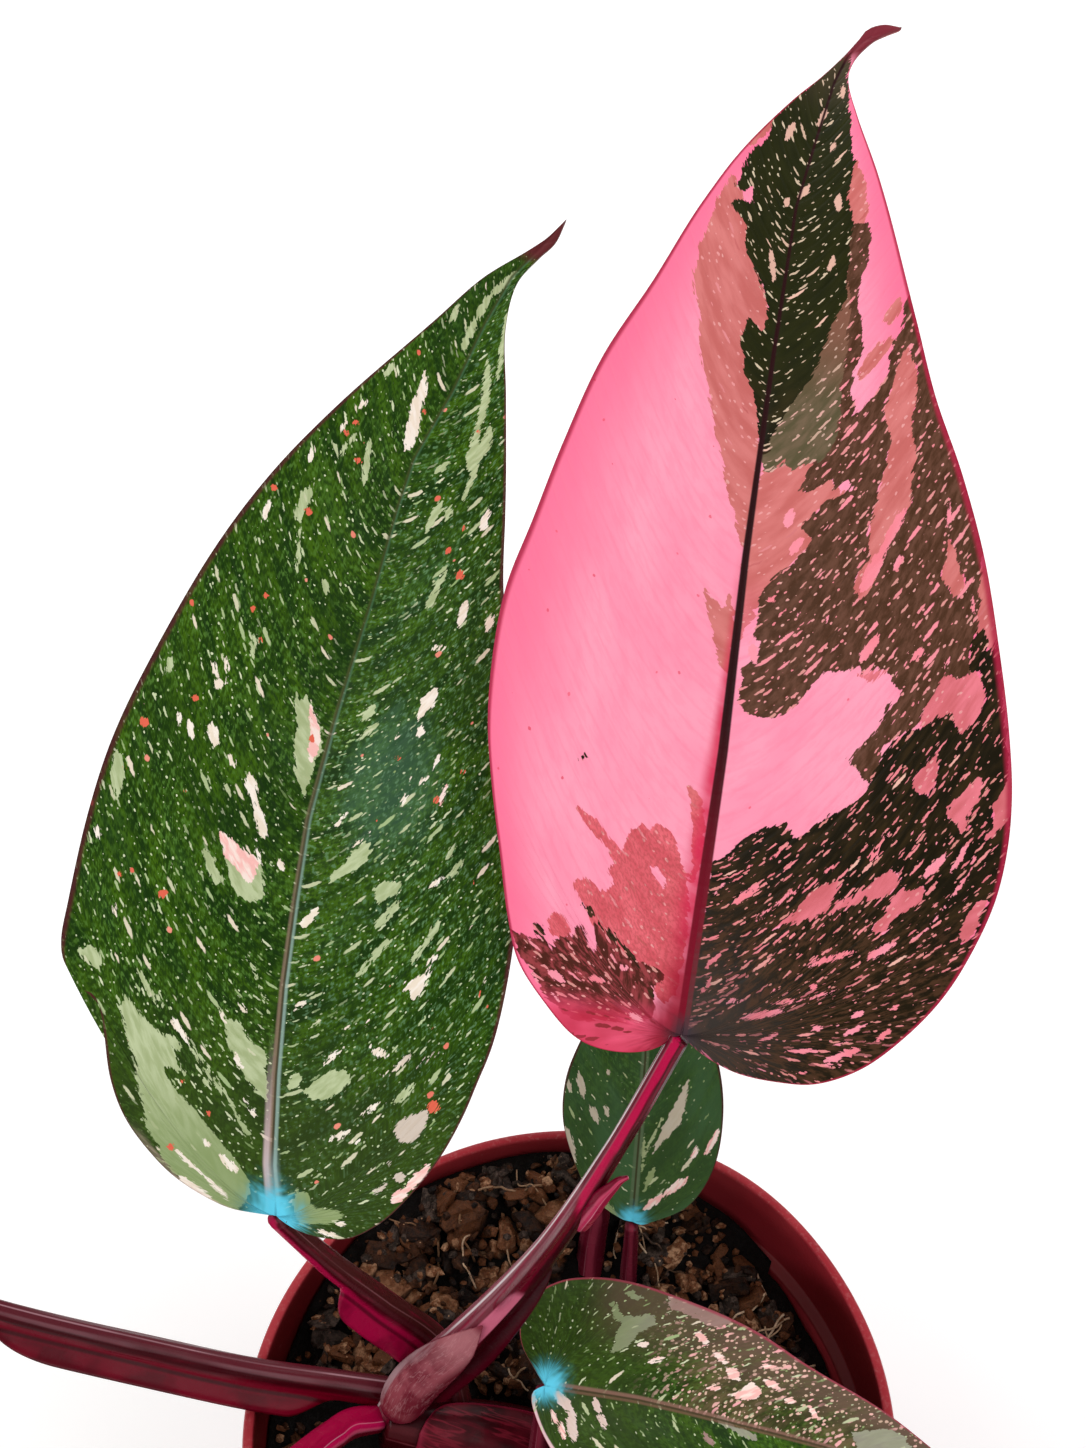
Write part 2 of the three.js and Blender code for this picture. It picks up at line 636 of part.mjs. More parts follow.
// Angular pieces of bark, half sunk in the soil
function barkChips() {
  const random = seeded(CHIP_SEED);
  const chips = [];
  for (let i = 0; i < CHIP_COUNT; i++) {
    const r = CHIP_REACH * Math.sqrt((i + 0.5) / CHIP_COUNT);
    const turn = i * GOLDEN_TURN + 0.4 * random();
    const [x, y] = [r * Math.cos(turn), r * Math.sin(turn)];
    const chip = new THREE.BoxGeometry(4 + 5 * random(), 3 + 3.5 * random(), 2 + 2.5 * random());
    const corners = chip.attributes.position;
    for (let j = 0; j < corners.count; j++) {
      const skew = Math.sin(3 * Math.sign(corners.getX(j)) + 5 * Math.sign(corners.getY(j)) + i);
      corners.setX(j, corners.getX(j) * (1 + 0.22 * skew));
      corners.setY(j, corners.getY(j) * (1 - 0.2 * skew * Math.sign(corners.getZ(j))));
    }
    chip.rotateX(1.1 * (random() - 0.5));
    chip.rotateY(1.1 * (random() - 0.5));
    chip.rotateZ(2 * Math.PI * random());
    chip.translate(x, y, soilHeight(x, y) + 0.2 + 0.6 * random());
    chips.push(solidFrom(chip));
  }
  return wasm.Manifold.union(chips);
}

// The hooked end, narrowing to its tip
function hookSolid() {
  return loft(HOOK, 8, (share) => oval(8, 2 - 1.6 * share, 1.3 - 0.9 * share));
}

function buildPlant() {
  const parts = {};
  const blades = { leaf_a: LEAF_A, leaf_b: LEAF_B, leaf_c: LEAF_C, leaf_d: LEAF_D, leaf_f: LEAF_F };
  for (const [name, leaf] of Object.entries(blades)) parts[name] = bladeSolid(leaf);
  const clearOf = (solid, cutters) => largest(cutters.reduce((left, cutter) => left.subtract(cutter), solid));
  const slot = (leaf) => {
    const thick = bladeSolid(leaf, BLADE + 2 * GAP);
    const back = bladeSurface(leaf).point(-GAP, 0, 0).sub(new THREE.Vector3(...leaf.base));
    return thick.add(thick.translate(back.toArray()));
  };
  const winged = (stalk, wings, stations, grow) =>
    wings.reduce((whole, wing) => whole.add(wingSolid(stalk, wing, grow)), stalkSolid(stalk, stations, grow));

  const seatA = winged(STALK_A, WINGS_A, 18, GAP);
  const seatB = winged(STALK_B, WINGS_B, 12, GAP);
  const seatC = winged(STALK_C, WINGS_C, 16, GAP);
  const seatD = stalkSolid(STALK_D, 6, GAP);
  const seatSpike = stalkSolid(SPIKE, 10, GAP);

  parts.petiole_a = clearOf(winged(STALK_A, WINGS_A, 18, 0).add(hookSolid()), [slot(LEAF_A)]);
  parts.petiole_b = clearOf(winged(STALK_B, WINGS_B, 12, 0), [slot(LEAF_B), seatA]);
  parts.petiole_c = clearOf(winged(STALK_C, WINGS_C, 16, 0), [slot(LEAF_C), seatA, seatB]);
  parts.petiole_d = clearOf(stalkSolid(STALK_D, 6), [slot(LEAF_D)]);
  parts.petiole_f = clearOf(stalkSolid(STALK_F, 6), [slot(LEAF_F)]);
  parts.new_leaf_spike = clearOf(stalkSolid(SPIKE, 10), [seatA, seatC]);
  parts.cataphyll_a = clearOf(shellSolid(STALK_A, CATAPHYLL), [seatA, seatB, seatC, seatSpike]);
  const seatShell = shellSolid(STALK_A, CATAPHYLL, GAP);
  const stem = stalkSolid(STEM, 14);
  parts.stem = clearOf(stem, [seatA, seatB, seatC, seatD, seatSpike, seatShell]);
  const seatStem = stalkSolid(STEM, 14, GAP);
  const oldSheath = shellSolid(STEM, OLD_SHEATH);
  parts.old_sheath = clearOf(oldSheath, [seatA, seatB, seatC, seatD, seatSpike, seatShell]);
  parts.side_shoot = stalkSolid(SIDE_SHOOT, 8);

  const holes = [seatStem, seatD, stalkSolid(STALK_F, 6, GAP), stalkSolid(SIDE_SHOOT, 8, GAP), seatB];
  holes.push(shellSolid(STEM, OLD_SHEATH, GAP));
  const soil = soilPlug().intersect(soilMound().add(barkChips()));
  parts.soil = clearOf(soil, holes);
  parts.pot = potSolid();
  return parts;
}

const look = (color, roughness) => new THREE.MeshStandardMaterial({ color, roughness, metalness: 0 });
const materials = {
  pot: look(0x9c3236, 0.42),
  soil: look(0x3a2a20, 0.95),
  stem: look(0x4a1020, 0.4),
  old_sheath: look(0x5a1424, 0.35),
  cataphyll_a: look(0xb0566a, 0.3),
  new_leaf_spike: look(0xc41050, 0.2),
  side_shoot: look(0x7a1f3c, 0.4),
  leaf_a: look(0xf77fa6, 0.35),
  leaf_b: look(0x2c5a24, 0.35),
  leaf_c: look(0x2f5527, 0.35),
  leaf_d: look(0x3c5a2c, 0.35),
  leaf_f: look(0x35603a, 0.35),
  petiole_a: look(0xa01045, 0.25),
  petiole_b: look(0x4d1020, 0.3),
  petiole_c: look(0x7a0a32, 0.3),
  petiole_d: look(0x9a2048, 0.3),
  petiole_f: look(0x8a2f4c, 0.35),
};

const plant = new THREE.Group();
for (const [name, solid] of Object.entries(buildPlant())) plant.add(meshOf(name, solid, materials[name]));

export default plant;
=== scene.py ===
"""A potted pink naomi philodendron: variegated leaves on winged stalks in bark soil and a nursery pot."""

import bmesh
import bpy
import numpy as np
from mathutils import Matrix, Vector


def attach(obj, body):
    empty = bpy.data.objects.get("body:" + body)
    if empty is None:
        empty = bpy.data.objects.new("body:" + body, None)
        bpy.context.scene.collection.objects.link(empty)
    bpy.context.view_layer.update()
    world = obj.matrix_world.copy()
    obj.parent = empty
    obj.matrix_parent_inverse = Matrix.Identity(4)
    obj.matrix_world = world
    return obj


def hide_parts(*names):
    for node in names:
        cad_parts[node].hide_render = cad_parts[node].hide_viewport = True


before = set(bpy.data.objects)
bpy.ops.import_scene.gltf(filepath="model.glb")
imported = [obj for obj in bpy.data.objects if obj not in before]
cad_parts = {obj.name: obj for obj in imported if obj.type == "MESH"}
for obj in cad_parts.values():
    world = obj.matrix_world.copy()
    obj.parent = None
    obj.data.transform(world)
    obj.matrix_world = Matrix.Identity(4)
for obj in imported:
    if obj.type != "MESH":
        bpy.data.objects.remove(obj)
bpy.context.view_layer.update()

# Sizes below are millimetres, and every mesh is made in metres
MM = 0.001

# The camera looks along +Y and down, from where the photograph was taken
CAMERA_PLACE = (-5.2, -151.0, 508.0)
CAMERA_DOWN = 50.0
CAMERA_LENS = 50.0

# The viewer's side of each stalk, which turns its wings and sheaths
FACING = np.array([0, -0.643, 0.766])

# How a blade is folded and cupped, and how far the side veins lean
FOLD = 0.28
FOLD_ROUND = 2.0
CUP = 0.15
ARCH_POWER = 1.3
VEIN_LEAN = 1.3
VEIN_CURVE = 1.5
FIRST_VEIN = 0.012
BLADE_HALF = 0.28
EDGE_HALF = 0.17
VEIN_GAP = 14.0
QUILT = 0.03
QUILT_START = 4
WAVES = 7
GROOVE_DEPTH = 0.35
KEEL_DEPTH = 1.5
KEEL_TIP_DEPTH = 0.25

# How the vein lines of a half and the points along them are spread
RIB_POWER = 1.15
ROW_POWER = 1.2
EVEN_SHARE = 0.35
FAN_SHARE = 0.45
FAN_SPACING = 0.7

# How finely curves, margins and the arch of a blade are sampled
CURVE_STEPS = 40
MARGIN_POINTS = 2400
ARCH_STEP = 0.25

# The depth given to points outside all marks, and how much a stroke thins to its ends
FAR_OUTSIDE = -20.0
STROKE_TAPER = 0.65

# The white surroundings, in metres where they are sizes, and how much each kind of surface mirrors
WORLD_LIGHT = 0.58
LIGHT_TARGET = (0, 0.05, 0.15)
FLOOR_SIZE = 5
FLOOR_GLOW = 0.2
LEAF_SPECULAR = 0.08
STALK_SPECULAR = 0.12
POT_SPECULAR = 0.15
SOIL_SPECULAR = 0.15

# The blades: each flat outline is (x along the axis, y to its right), from the stalk to the tip
LEAF_A = {
    "base": (19, 33.5, 203.5), "heading": 12.1, "pitch": 42.5, "roll": -3,
    "length": 190, "width": 48, "arch": 30, "wave": 0.5,
    "left": [
        (0, 0), (-3.5, -5), (-4.5, -12), (-3, -18), (3, -25), (9, -30), (16, -32.8), (26, -35.7), (39, -39.5),
        (49, -41.8), (61, -42.8), (72, -42.4), (84, -39.9), (99, -37), (115, -33), (131.5, -26.3),
        (149, -20.4), (162, -15), (176, -7), (183, -2.4), (189, 1), (194, 3.4), (197, 4.8), (199.2, 8),
        (199.6, 11.3),
    ],
    "right": [
        (0, 0), (-2.3, 3.7), (-4.4, 10), (-4.5, 18), (-3.5, 24), (0.5, 31), (7, 37.2), (14.5, 42.4),
        (22, 45.8), (32, 48.7), (41, 49.4), (50, 48.7), (60, 46.7), (73, 43.3), (89, 38.5), (103, 32.7),
        (116.5, 26.2), (131.5, 20.9), (148, 15.2), (160, 10.8), (174, 5.4), (184, 2.7), (189, 3.2),
        (194, 5.6), (197, 8), (199.6, 11.3),
    ],
    "mid": [
        (0, 0), (50, -0.7), (85, -2.2), (123, -3), (153, -3.2), (168, -1.6), (183, 0.2), (190, 2),
        (195, 4.9), (199.6, 11.3),
    ],
}
LEAF_B = {
    "base": (-53, 13, 175.5), "heading": 17, "pitch": 43.3, "roll": -12,
    "length": 190, "width": 44, "arch": 30, "wave": 0.6,
    "left": [
        (0, 0), (0, -7.5), (1.2, -12), (4, -18.3), (7, -22.7), (13, -29), (19.5, -33), (29.5, -36.6),
        (32.7, -38.3), (35.3, -42.2), (38, -45.3), (41.5, -46.6), (48.5, -46.9), (62.5, -46.8),
        (77, -45.5), (92, -42.4), (111.5, -36.9), (128, -30.2), (147, -20.3), (168, -7.6), (180, -0.4),
        (188.3, 6.3), (192.5, 9.3), (196.3, 11.2), (198.7, 12.3),
    ],
    "right": [
        (0, 0), (-1.2, 3.8), (-1.4, 8.5), (0, 13.8), (4, 18.4), (8, 21.3), (17, 26), (25, 28.6), (32, 30),
        (40, 31.3), (55, 31.2), (72, 29), (90, 24.5), (104, 20.3), (118, 16), (131.5, 13.5), (139, 12.1),
        (155, 8.8), (169.5, 5.8), (181, 5.9), (188, 8.8), (192.5, 11.2), (198.7, 12.3),
    ],
    "mid": [
        (0, 0), (9, -2.6), (25, -5.2), (41, -7.2), (56, -8.4), (71, -9.3), (90, -8.5), (112, -6.9),
        (130, -6.1), (140, -5.3), (155, -1.2), (170, 1.6), (182, 4.6), (190.4, 8.7), (198.7, 12.3),
    ],
}

# The margin of a smaller leaf, as shares of its length and of half its width
PLAIN_HALF = [
    (0, 0), (-0.045, 0.14), (-0.06, 0.4), (-0.01, 0.72), (0.09, 0.93), (0.21, 1), (0.33, 0.965),
    (0.46, 0.83), (0.6, 0.62), (0.73, 0.4), (0.85, 0.19), (0.93, 0.07), (1, 0),
]
C_LENGTH = 158
C_HALF = 40
LEAF_C = {
    "base": (-121, 7, 161), "heading": -97, "pitch": 16, "roll": 12,
    "length": C_LENGTH, "width": C_HALF, "arch": 48, "wave": 0.8,
    "left": [(C_LENGTH * x, -C_HALF * y) for x, y in PLAIN_HALF],
    "right": [(C_LENGTH * x, C_HALF * y) for x, y in PLAIN_HALF],
    "mid": [(0, 0), (C_LENGTH, 0)],
}
LEAF_D = {
    "base": (-4.8, 4.2, 120), "heading": 104, "pitch": 9, "roll": 4,
    "length": 95, "width": 24, "arch": 24, "wave": 0.4,
    "left": [
        (0, 0), (-3, -3), (-6.5, -7), (-7.8, -11), (-6.4, -17.5), (-2, -21.6), (4, -23.3), (14, -23.5),
        (27, -21.7), (39.5, -18.2), (48, -15.1), (58, -11.9), (67, -8.9), (76, -5.6), (84, -2.7),
        (91, -0.8), (96, 0),
    ],
    "right": [
        (0, 0), (-1.8, 2), (-1.6, 4), (0.6, 8), (4.8, 13.4), (11, 18.6), (20, 22.5), (31, 23.8),
        (43, 22.2), (55, 18.3), (67, 12.8), (78, 7), (88, 2.4), (96, 0),
    ],
    "mid": [(0, 0), (19, -0.6), (39, -0.1), (96, 0)],
}
LEAF_F = {
    "base": (13.6, 41, 116), "heading": 4, "pitch": 46, "roll": 2,
    "length": 57, "width": 17.5, "arch": 22, "wave": 0.3,
    "left": [
        (0, 0), (0.4, -2), (2, -4.4), (5.5, -8.8), (12.7, -12.9), (21, -15.6), (29.3, -15.6),
        (36.5, -13.4), (45, -9), (52, -3.6), (57, 0),
    ],
    "right": [
        (0, 0), (-0.3, 2), (0.7, 4.3), (5.2, 11.8), (13, 16.3), (25.6, 17.7), (36.8, 15.5), (45, 11),
        (52, 4.6), (57, 0),
    ],
    "mid": [(0, 0), (20, 0.5), (35, 0.8), (57, 0)],
}

# Stalks: the middle line and the radius at each of its points
STALK_A = {
    "route": [
        (-35, 5.5, 103.2), (-30.6, 8.2, 112), (-19.5, 11.1, 128), (-3.8, 16.7, 156), (8.3, 24, 182),
        (18.6, 33.2, 202.9),
    ],
    "radius": [4.4, 4.3, 4.1, 2.6, 1.9, 1.9],
}
STALK_B = {
    "route": [(-23, 8.5, 99), (-26.3, 16, 109), (-37.4, 17.2, 130), (-45.4, 15, 152), (-52.7, 13, 174.9)],
    "radius": [3.3, 3.2, 2.8, 2.4, 2],
}
STALK_C = {
    "route": [
        (-37.6, 9.2, 104), (-45.5, 8.9, 108), (-63.7, 8, 117.5), (-85.5, 7.8, 131), (-106.5, 6.6, 148.5),
        (-120.4, 6.8, 160.6),
    ],
    "radius": [3.2, 3, 2.8, 2.6, 2.3, 2],
}
STALK_D = {
    "route": [(-6.6, -2.6, 90), (-6, -2.2, 103), (-5.4, 0.6, 111), (-5, 3.6, 119)],
    "radius": [2.3, 2.1, 1.9, 1.7],
}
STALK_F = {
    "route": [(13, 34.5, 84), (13.2, 36.2, 93), (13.4, 38.7, 105), (13.5, 40.6, 115.2)],
    "radius": [2, 1.9, 1.7, 1.4],
}
STEM = {
    "route": [
        (-37.5, 3.2, 102.5), (-30, 3, 100), (-20, 3.2, 96.5), (-9, 3, 91), (1, 2.2, 82), (6, 1.6, 68),
    ],
    "radius": [4.6, 6, 7, 7.6, 7.2, 6.4],
}
SPIKE = {
    "route": [
        (-38.9, 4, 103), (-43.7, 1.2, 108), (-47, -3.2, 113), (-50.6, -8.8, 119.5), (-54, -15, 128),
        (-57.5, -23, 139), (-61, -32, 152),
    ],
    "radius": [2.8, 3, 3, 2.8, 2.4, 1.7, 0.5],
}
SIDE_SHOOT = {
    "route": [(3.6, 34.5, 84), (4.6, 38.2, 93), (5.4, 42.7, 101), (6.6, 46.4, 109), (7.9, 49.2, 115.5)],
    "radius": [3.4, 3.1, 3, 2.6, 0.8],
}
HOOK = {
    "route": [
        (1.7, 18.2, 162), (3.6, 18.3, 167.3), (5.4, 18.4, 172), (7.2, 18.6, 175.4), (8.7, 18.7, 178),
        (10.1, 18.9, 178.8),
    ],
    "radius": [1.8, 1.9, 1.6, 1.1, 0.7, 0.35],
}
WINGS_A = [
    {"from": 0.06, "to": 0.5, "reach": 2.8, "side": 0.85, "front": 0.35, "taper": 0.5},
    {"from": 0.36, "to": 0.66, "reach": 1.6, "side": -0.2, "front": 1, "taper": 0.3},
]
WINGS_B = [{"from": 0.12, "to": 0.6, "reach": 4.8, "side": -0.85, "front": 0.5, "taper": 0.2}]
WINGS_C = [{"from": 0.1, "to": 0.83, "reach": 4.6, "side": -0.85, "front": 0.5, "taper": 0.2}]
CATAPHYLL = {
    "from": 0.02, "to": 0.33, "turn": 1.8, "lean": -0.1, "spread": 1.4, "narrow": 0.85,
    "thick": 0.9, "clear": 0.3,
}
OLD_SHEATH = {
    "from": 0.1, "to": 0.66, "turn": 1.5, "lean": 0, "spread": 1.3, "narrow": 0,
    "thick": 1.1, "clear": 0.5,
}
WING_LEAN = 0.17
WING_START = 0.15
STALK_RELIEF = 0.05
SHELL_ROWS = 400
SHEATH_LENGTH = 40
FLUTE_DEPTH = 0.06
FLUTES = 11

# The pot
POT_HEIGHT = 112
RIM_RADIUS = 65
LIP_WIDTH = 2.3
COLLAR_DEPTH = 18
LEDGE_WIDTH = 2.5
WALL = 1.5
FLOOR = 2
FOOT_RADIUS = 46
FOOT_BEVEL = 1.2
FLOOR_BEVEL = 1.5
COLLAR_TAPER = 0.6
LEDGE = POT_HEIGHT - COLLAR_DEPTH
LIP_INNER = RIM_RADIUS - LIP_WIDTH
COLLAR_INNER = LIP_INNER - COLLAR_TAPER
LEDGE_INNER = COLLAR_INNER - LEDGE_WIDTH
POT_SIDES = 224
DRAIN_COUNT = 6
DRAIN_RADIUS = 4
DRAIN_CIRCLE = 32
BULGE = 1.5
BULGE_TURN = 1
BULGE_SPREAD = 0.38

# The soil's surface, and the bark, crumbs and fibres that lie on it
SOIL_LEVEL = 93
SOIL_BANK = 8
SOIL_SIDES = 300
SOIL_RINGS = 110
GROUND_REACH = 64
BARK_COUNT = 1300
BARK_SMALLEST = 1.3
BARK_RANGE = 3.6
CRUMB_COUNT = 1600
FIBRE_COUNT = 175
SPREAD_FIBRES = 125
FIBRE_STEP = 1.3
FIBRE_SIDES = 5
RIGHT_HEAP = (42, 12)
COLLAR_REACH = 61.2
CRUMB_REACH = 60.8
WALL_REACH = 57.8

# Colour areas and strokes of the blades, read on a millimetre grid laid over the photograph.
# A point is (x along the midrib, y to its right); a stroke is (x, y, x, y, width).
A_DARK = [
    [
        (190, 2), (186, -1), (182, -3.5), (178, -5.5), (175, -7.5), (172, -9.5), (169, -10), (166, -10.5),
        (164, -12), (161, -13.5), (158, -14), (156, -14), (154.5, -14.7), (154, -13), (156, -11.5),
        (151.5, -11), (152, -14), (150.5, -15), (149, -13.5), (147, -11.5), (143, -11), (140, -9.5),
        (134, -6.5), (130, -5), (127, -4.5), (127, -6), (128.5, -8), (126, -9), (123.5, -9), (119, -7.5),
        (115, -5.5), (110, -4), (106, -3), (104, -2.5), (104, -1.5), (107, -1), (109, 0), (113, 1),
        (115.5, 2.5), (118, 4), (122, 5), (127, 6), (131, 6.5), (135, 8), (138, 8), (143, 7.5), (150, 7.5),
        (152.5, 7), (155, 5.5), (160, 6), (163, 6), (166, 5), (170, 4.5), (175, 3.5), (184, 2.5),
        (188, 2.5),
    ],
    [
        (32, 0.5), (31, 1.5), (33, 3), (36, 5), (38, 8), (38.5, 10), (39.5, 12), (38, 12), (37.5, 13.5),
        (38, 15), (40, 17), (42, 19), (43.5, 21), (45, 23.5), (46, 24.5), (48.5, 25), (50, 25), (52, 26),
        (54, 26.5), (55, 27), (57, 28.5), (58.5, 30), (59, 32), (61, 34), (62, 36.5), (60.5, 37.5),
        (59, 38), (59, 39), (61, 40.5), (64, 41.5), (67, 42), (68, 41), (70, 40.5), (70, 38.5), (74, 38),
        (77, 39), (77, 40), (76, 40.5), (73.5, 41), (74, 42.5), (76.5, 43), (74, 44), (70.5, 43.5),
        (66, 44.5), (60, 46), (54, 47.5), (46, 49.5), (40, 50), (30, 50), (18, 46), (8, 40), (0, 32),
        (-4, 24), (-5, 14), (-3, 6), (-1, 2), (0, 0.5), (16, 0.5),
    ],
]
A_DARK_STROKES = [
    (15.5, -28, 14, -26.5, 1.3), (20.3, -20.7, 20, -20.2, 0.6), (19.8, -19.8, 18.5, -18.5, 1),
    (17.5, -17.5, 14.5, -13.5, 0.7), (14.5, -13.5, 11, -8.5, 0.6), (8.5, -5.2, 8.2, -4.8, 0.6),
    (6.5, -6.5, 6.2, -6, 0.6), (44.5, -25, 45.6, -24.2, 0.4),
]
# Light patches inside the dark, which are rose, and pink where a stroke crosses them
A_DARK_WINDOWS = [
    [
        (56.5, 35.5), (54, 35.5), (51, 36), (48.5, 35), (48, 34), (48.5, 32), (50, 31.5), (52, 32.5),
        (54, 34),
    ],
    [
        (53, 42), (52.5, 43.5), (49, 44), (47, 43), (46, 42), (43, 42.5), (42.5, 41), (44, 40), (45.5, 38),
        (47.5, 38), (49, 40), (51, 41),
    ],
    [
        (31.5, 22), (31, 23), (28.5, 22), (26, 21), (23.5, 17.5), (22, 14.5), (20, 11), (19, 9.5),
        (20.5, 12), (23, 14), (25, 15.5), (28, 17), (30.5, 19.5),
    ],
    [
        (35, 30.5), (33.5, 32.5), (31, 31.5), (29.5, 29.5), (28.5, 27), (27.5, 25), (25, 21), (23.5, 18.5),
        (24, 17), (26, 20), (28.5, 23), (30.5, 26.5), (32.5, 28),
    ],
    [
        (33, 36.5), (31, 37), (29, 36), (27.5, 33), (24.5, 31.5), (23, 29.5), (24.5, 29), (27, 30.5),
        (30, 31.5), (32, 33),
    ],
    [
        (56, 48), (52, 47), (49.5, 46), (48, 45.5), (46.5, 46.5), (44.5, 46), (42.5, 45), (42, 46.5),
        (44, 47.5), (46, 49), (50, 49.5), (54, 49),
    ],
    [(32, 45.5), (33, 47.5), (29, 47), (25, 45.5), (24.5, 44), (27, 43.5), (30, 44.5)],
]
A_BROWN = [
    [
        (14, -32), (13.5, -29), (12, -27.5), (13.5, -28), (13, -26), (11, -24), (13.5, -24.5),
        (14.5, -22.5), (14.5, -21), (17, -21), (16, -19.5), (13, -18), (12.5, -17), (14.5, -17),
        (17.5, -18.5), (17, -16.5), (14, -13), (12, -10), (12, -8), (10, -5), (8.5, -5), (7, -6.5), (4, -5),
        (2, -5.5), (1.5, -8), (1, -10), (0.5, -14), (0, -18), (1, -21), (4, -25), (7, -27), (10, -30),
    ],
    [
        (150, 8.5), (150, 10.5), (147, 11), (143, 11), (138, 10.5), (134, 10.3), (131, 11), (128, 12),
        (125, 12.5), (121, 11.5), (118, 11.3), (115, 12), (112, 12.5), (114, 14), (115.5, 15.5), (117, 16),
        (120, 17), (123, 17.5), (126, 17.3), (129, 18.8), (134, 18.6), (137, 19.3), (137, 25), (118, 30),
        (100, 38), (95, 37), (84, 38.3), (78, 38.8), (73, 38), (70, 39), (68, 37), (69, 34.5), (64, 32.5),
        (61, 31.5), (59, 31), (58, 30), (57, 28), (55, 26), (51.5, 26), (48.5, 25), (49.5, 23.5),
        (51, 21.5), (52, 20), (54, 22), (56, 23.5), (58, 25), (62, 25.5), (63, 27), (65, 28), (66, 26),
        (68, 25), (68, 23), (66.5, 21), (68, 20), (67, 18.5), (66.5, 16.5), (66.5, 14.5), (63, 12),
        (61, 11), (59, 9.5), (57, 7), (57, 4), (57.5, 2), (59, 0.5), (65, 0.5), (68, 3), (70, 3), (71, 1),
        (74, 2), (77, 1.2), (79, 2), (82, 3.5), (84, 5.5), (86, 7), (88, 8.5), (89, 9), (91, 6.3),
        (94, 8.5), (96, 10), (97, 12), (99, 15.5), (100, 13), (98.5, 11), (100.5, 10.5), (99, 9), (97.3, 7),
        (97.3, 5), (99, 5.5), (101.5, 6), (104, 7), (108, 7.5), (115, 7), (120, 7), (125, 7), (130, 7),
        (138, 6), (150, 6),
    ],
]
A_BROWN_WINDOWS = [
    [
        (126, 20), (122, 22), (117, 23), (113, 22.5), (110, 23), (106, 24.5), (101, 24.5), (97, 24.5),
        (94, 22.7), (90, 22), (86, 20.7), (82, 20.3), (79, 18.5), (81, 17), (84, 17.5), (87, 19),
        (91, 18.2), (96, 18.5), (100, 19), (104, 19.5), (108, 19.5), (111, 18.5), (114, 17.5), (117, 18.5),
        (121, 18.5),
    ],
    [
        (92, 31.5), (91, 33), (88, 34), (85, 35.5), (83, 35.5), (82, 34), (84, 33), (84, 31.8), (86, 31.5),
        (89, 32),
    ],
]
A_GREY = [
    [
        (101, -1.5), (100.5, -0.5), (102, 0.5), (103.5, 2), (101.5, 3.5), (103, 6), (103.5, 8), (106, 9.5),
        (110, 10), (115, 9.5), (120, 9.5), (125, 9.5), (130, 9), (135, 8.5), (138, 8), (131, 5), (122, 3),
        (113, 0), (107, -2),
    ],
]
A_ROSE = A_DARK_WINDOWS + A_BROWN_WINDOWS + [
    [
        (36.5, -24), (34.5, -20.5), (32, -18), (30.5, -16), (29.3, -15), (32, -14.5), (34, -13.5),
        (35, -12.5), (34, -11), (35.5, -10), (35, -8), (33, -6.5), (30, -5), (27, -3.5), (22, -2.5),
        (15, -2), (8, -2.5), (5, -3.5), (10, -8), (12, -12), (16, -17), (18.5, -19), (20.5, -20),
        (23.5, -22.5), (24.5, -21.5), (24, -20), (22.5, -18), (23, -16), (25, -15.5), (26.7, -17),
        (27.5, -15.5), (30, -17),
    ],
    [(17, -25.5), (18, -24.5), (16, -22), (14, -22.5), (14.5, -25)],
    [(43, -5.5), (42, -3.5), (37, -2), (30, -1.5), (27, -2.5), (33, -3), (38, -4)],
    [
        (77.5, -8.5), (76, -6.5), (74, -4.8), (77, -4), (75, -3), (70, -2.3), (64, -2), (66, -3.7),
        (70, -5.3), (74, -7),
    ],
    [
        (156, -15.5), (152, -17), (148, -17.5), (143, -18.5), (138, -19), (134, -19), (131, -18.5),
        (128, -17), (125, -16.5), (121, -16), (117, -14.5), (113, -13), (109, -11.5), (105, -10), (99, -8),
        (95, -6.5), (92, -5), (88, -3.5), (86, -2.5), (100, -2.5), (105, -3), (116, -5), (127, -4),
        (134, -6), (142, -10), (148, -11.5), (153, -13.5),
    ],
    [(164, -13.5), (167, -11), (171, -9.5), (174, -8), (172, -11), (167, -13.5)],
    [(163, 6.5), (158, 8.5), (152, 9.5), (149, 9), (150, 7), (152, 6.5), (155, 5), (160, 5.5)],
    [
        (102, -1), (103, 2), (101.5, 3.5), (103.5, 6), (104, 9), (108, 10.5), (104, 10.3), (101, 9),
        (97.3, 5), (97.3, 7), (100, 10), (98.5, 11.5), (97.5, 13.5), (96, 10), (94, 8.5), (91, 6.5),
        (89, 9), (87, 7.5), (84, 5.5), (81, 3.2), (77, 1.2), (72, -0.5), (68, -1.5), (80, -2), (95, -2.3),
    ],
    [
        (69, 34.5), (68, 37), (70, 39.5), (66.5, 41.5), (62, 41), (58.5, 39), (60.5, 37.5), (61.5, 36.5),
        (61, 34), (59, 32), (61, 31.5), (64, 32.5),
    ],
    [(68, 24.5), (66, 22), (67, 20), (67.5, 22.5)],
    [(88, 38), (84, 37.8), (79, 38.6), (76.5, 38.5), (76, 40.5), (73.8, 41.5), (76.5, 43), (82, 42)],
]
A_ROSE_STROKES = [
    (19, 43.5, 12, 38.5, 2), (11, 38.5, 3, 32.5, 2.5), (71, 43, 66, 45, 1), (135, 17.5, 130, 16, 1.2),
    (127, 17, 121, 14, 1.2), (126, 15, 119, 12.8, 0.8),
]
A_ROSE_WINDOWS = [[(30, -10), (28.5, -8), (25, -5.5), (24.5, -7), (25.5, -9), (28, -10)]]
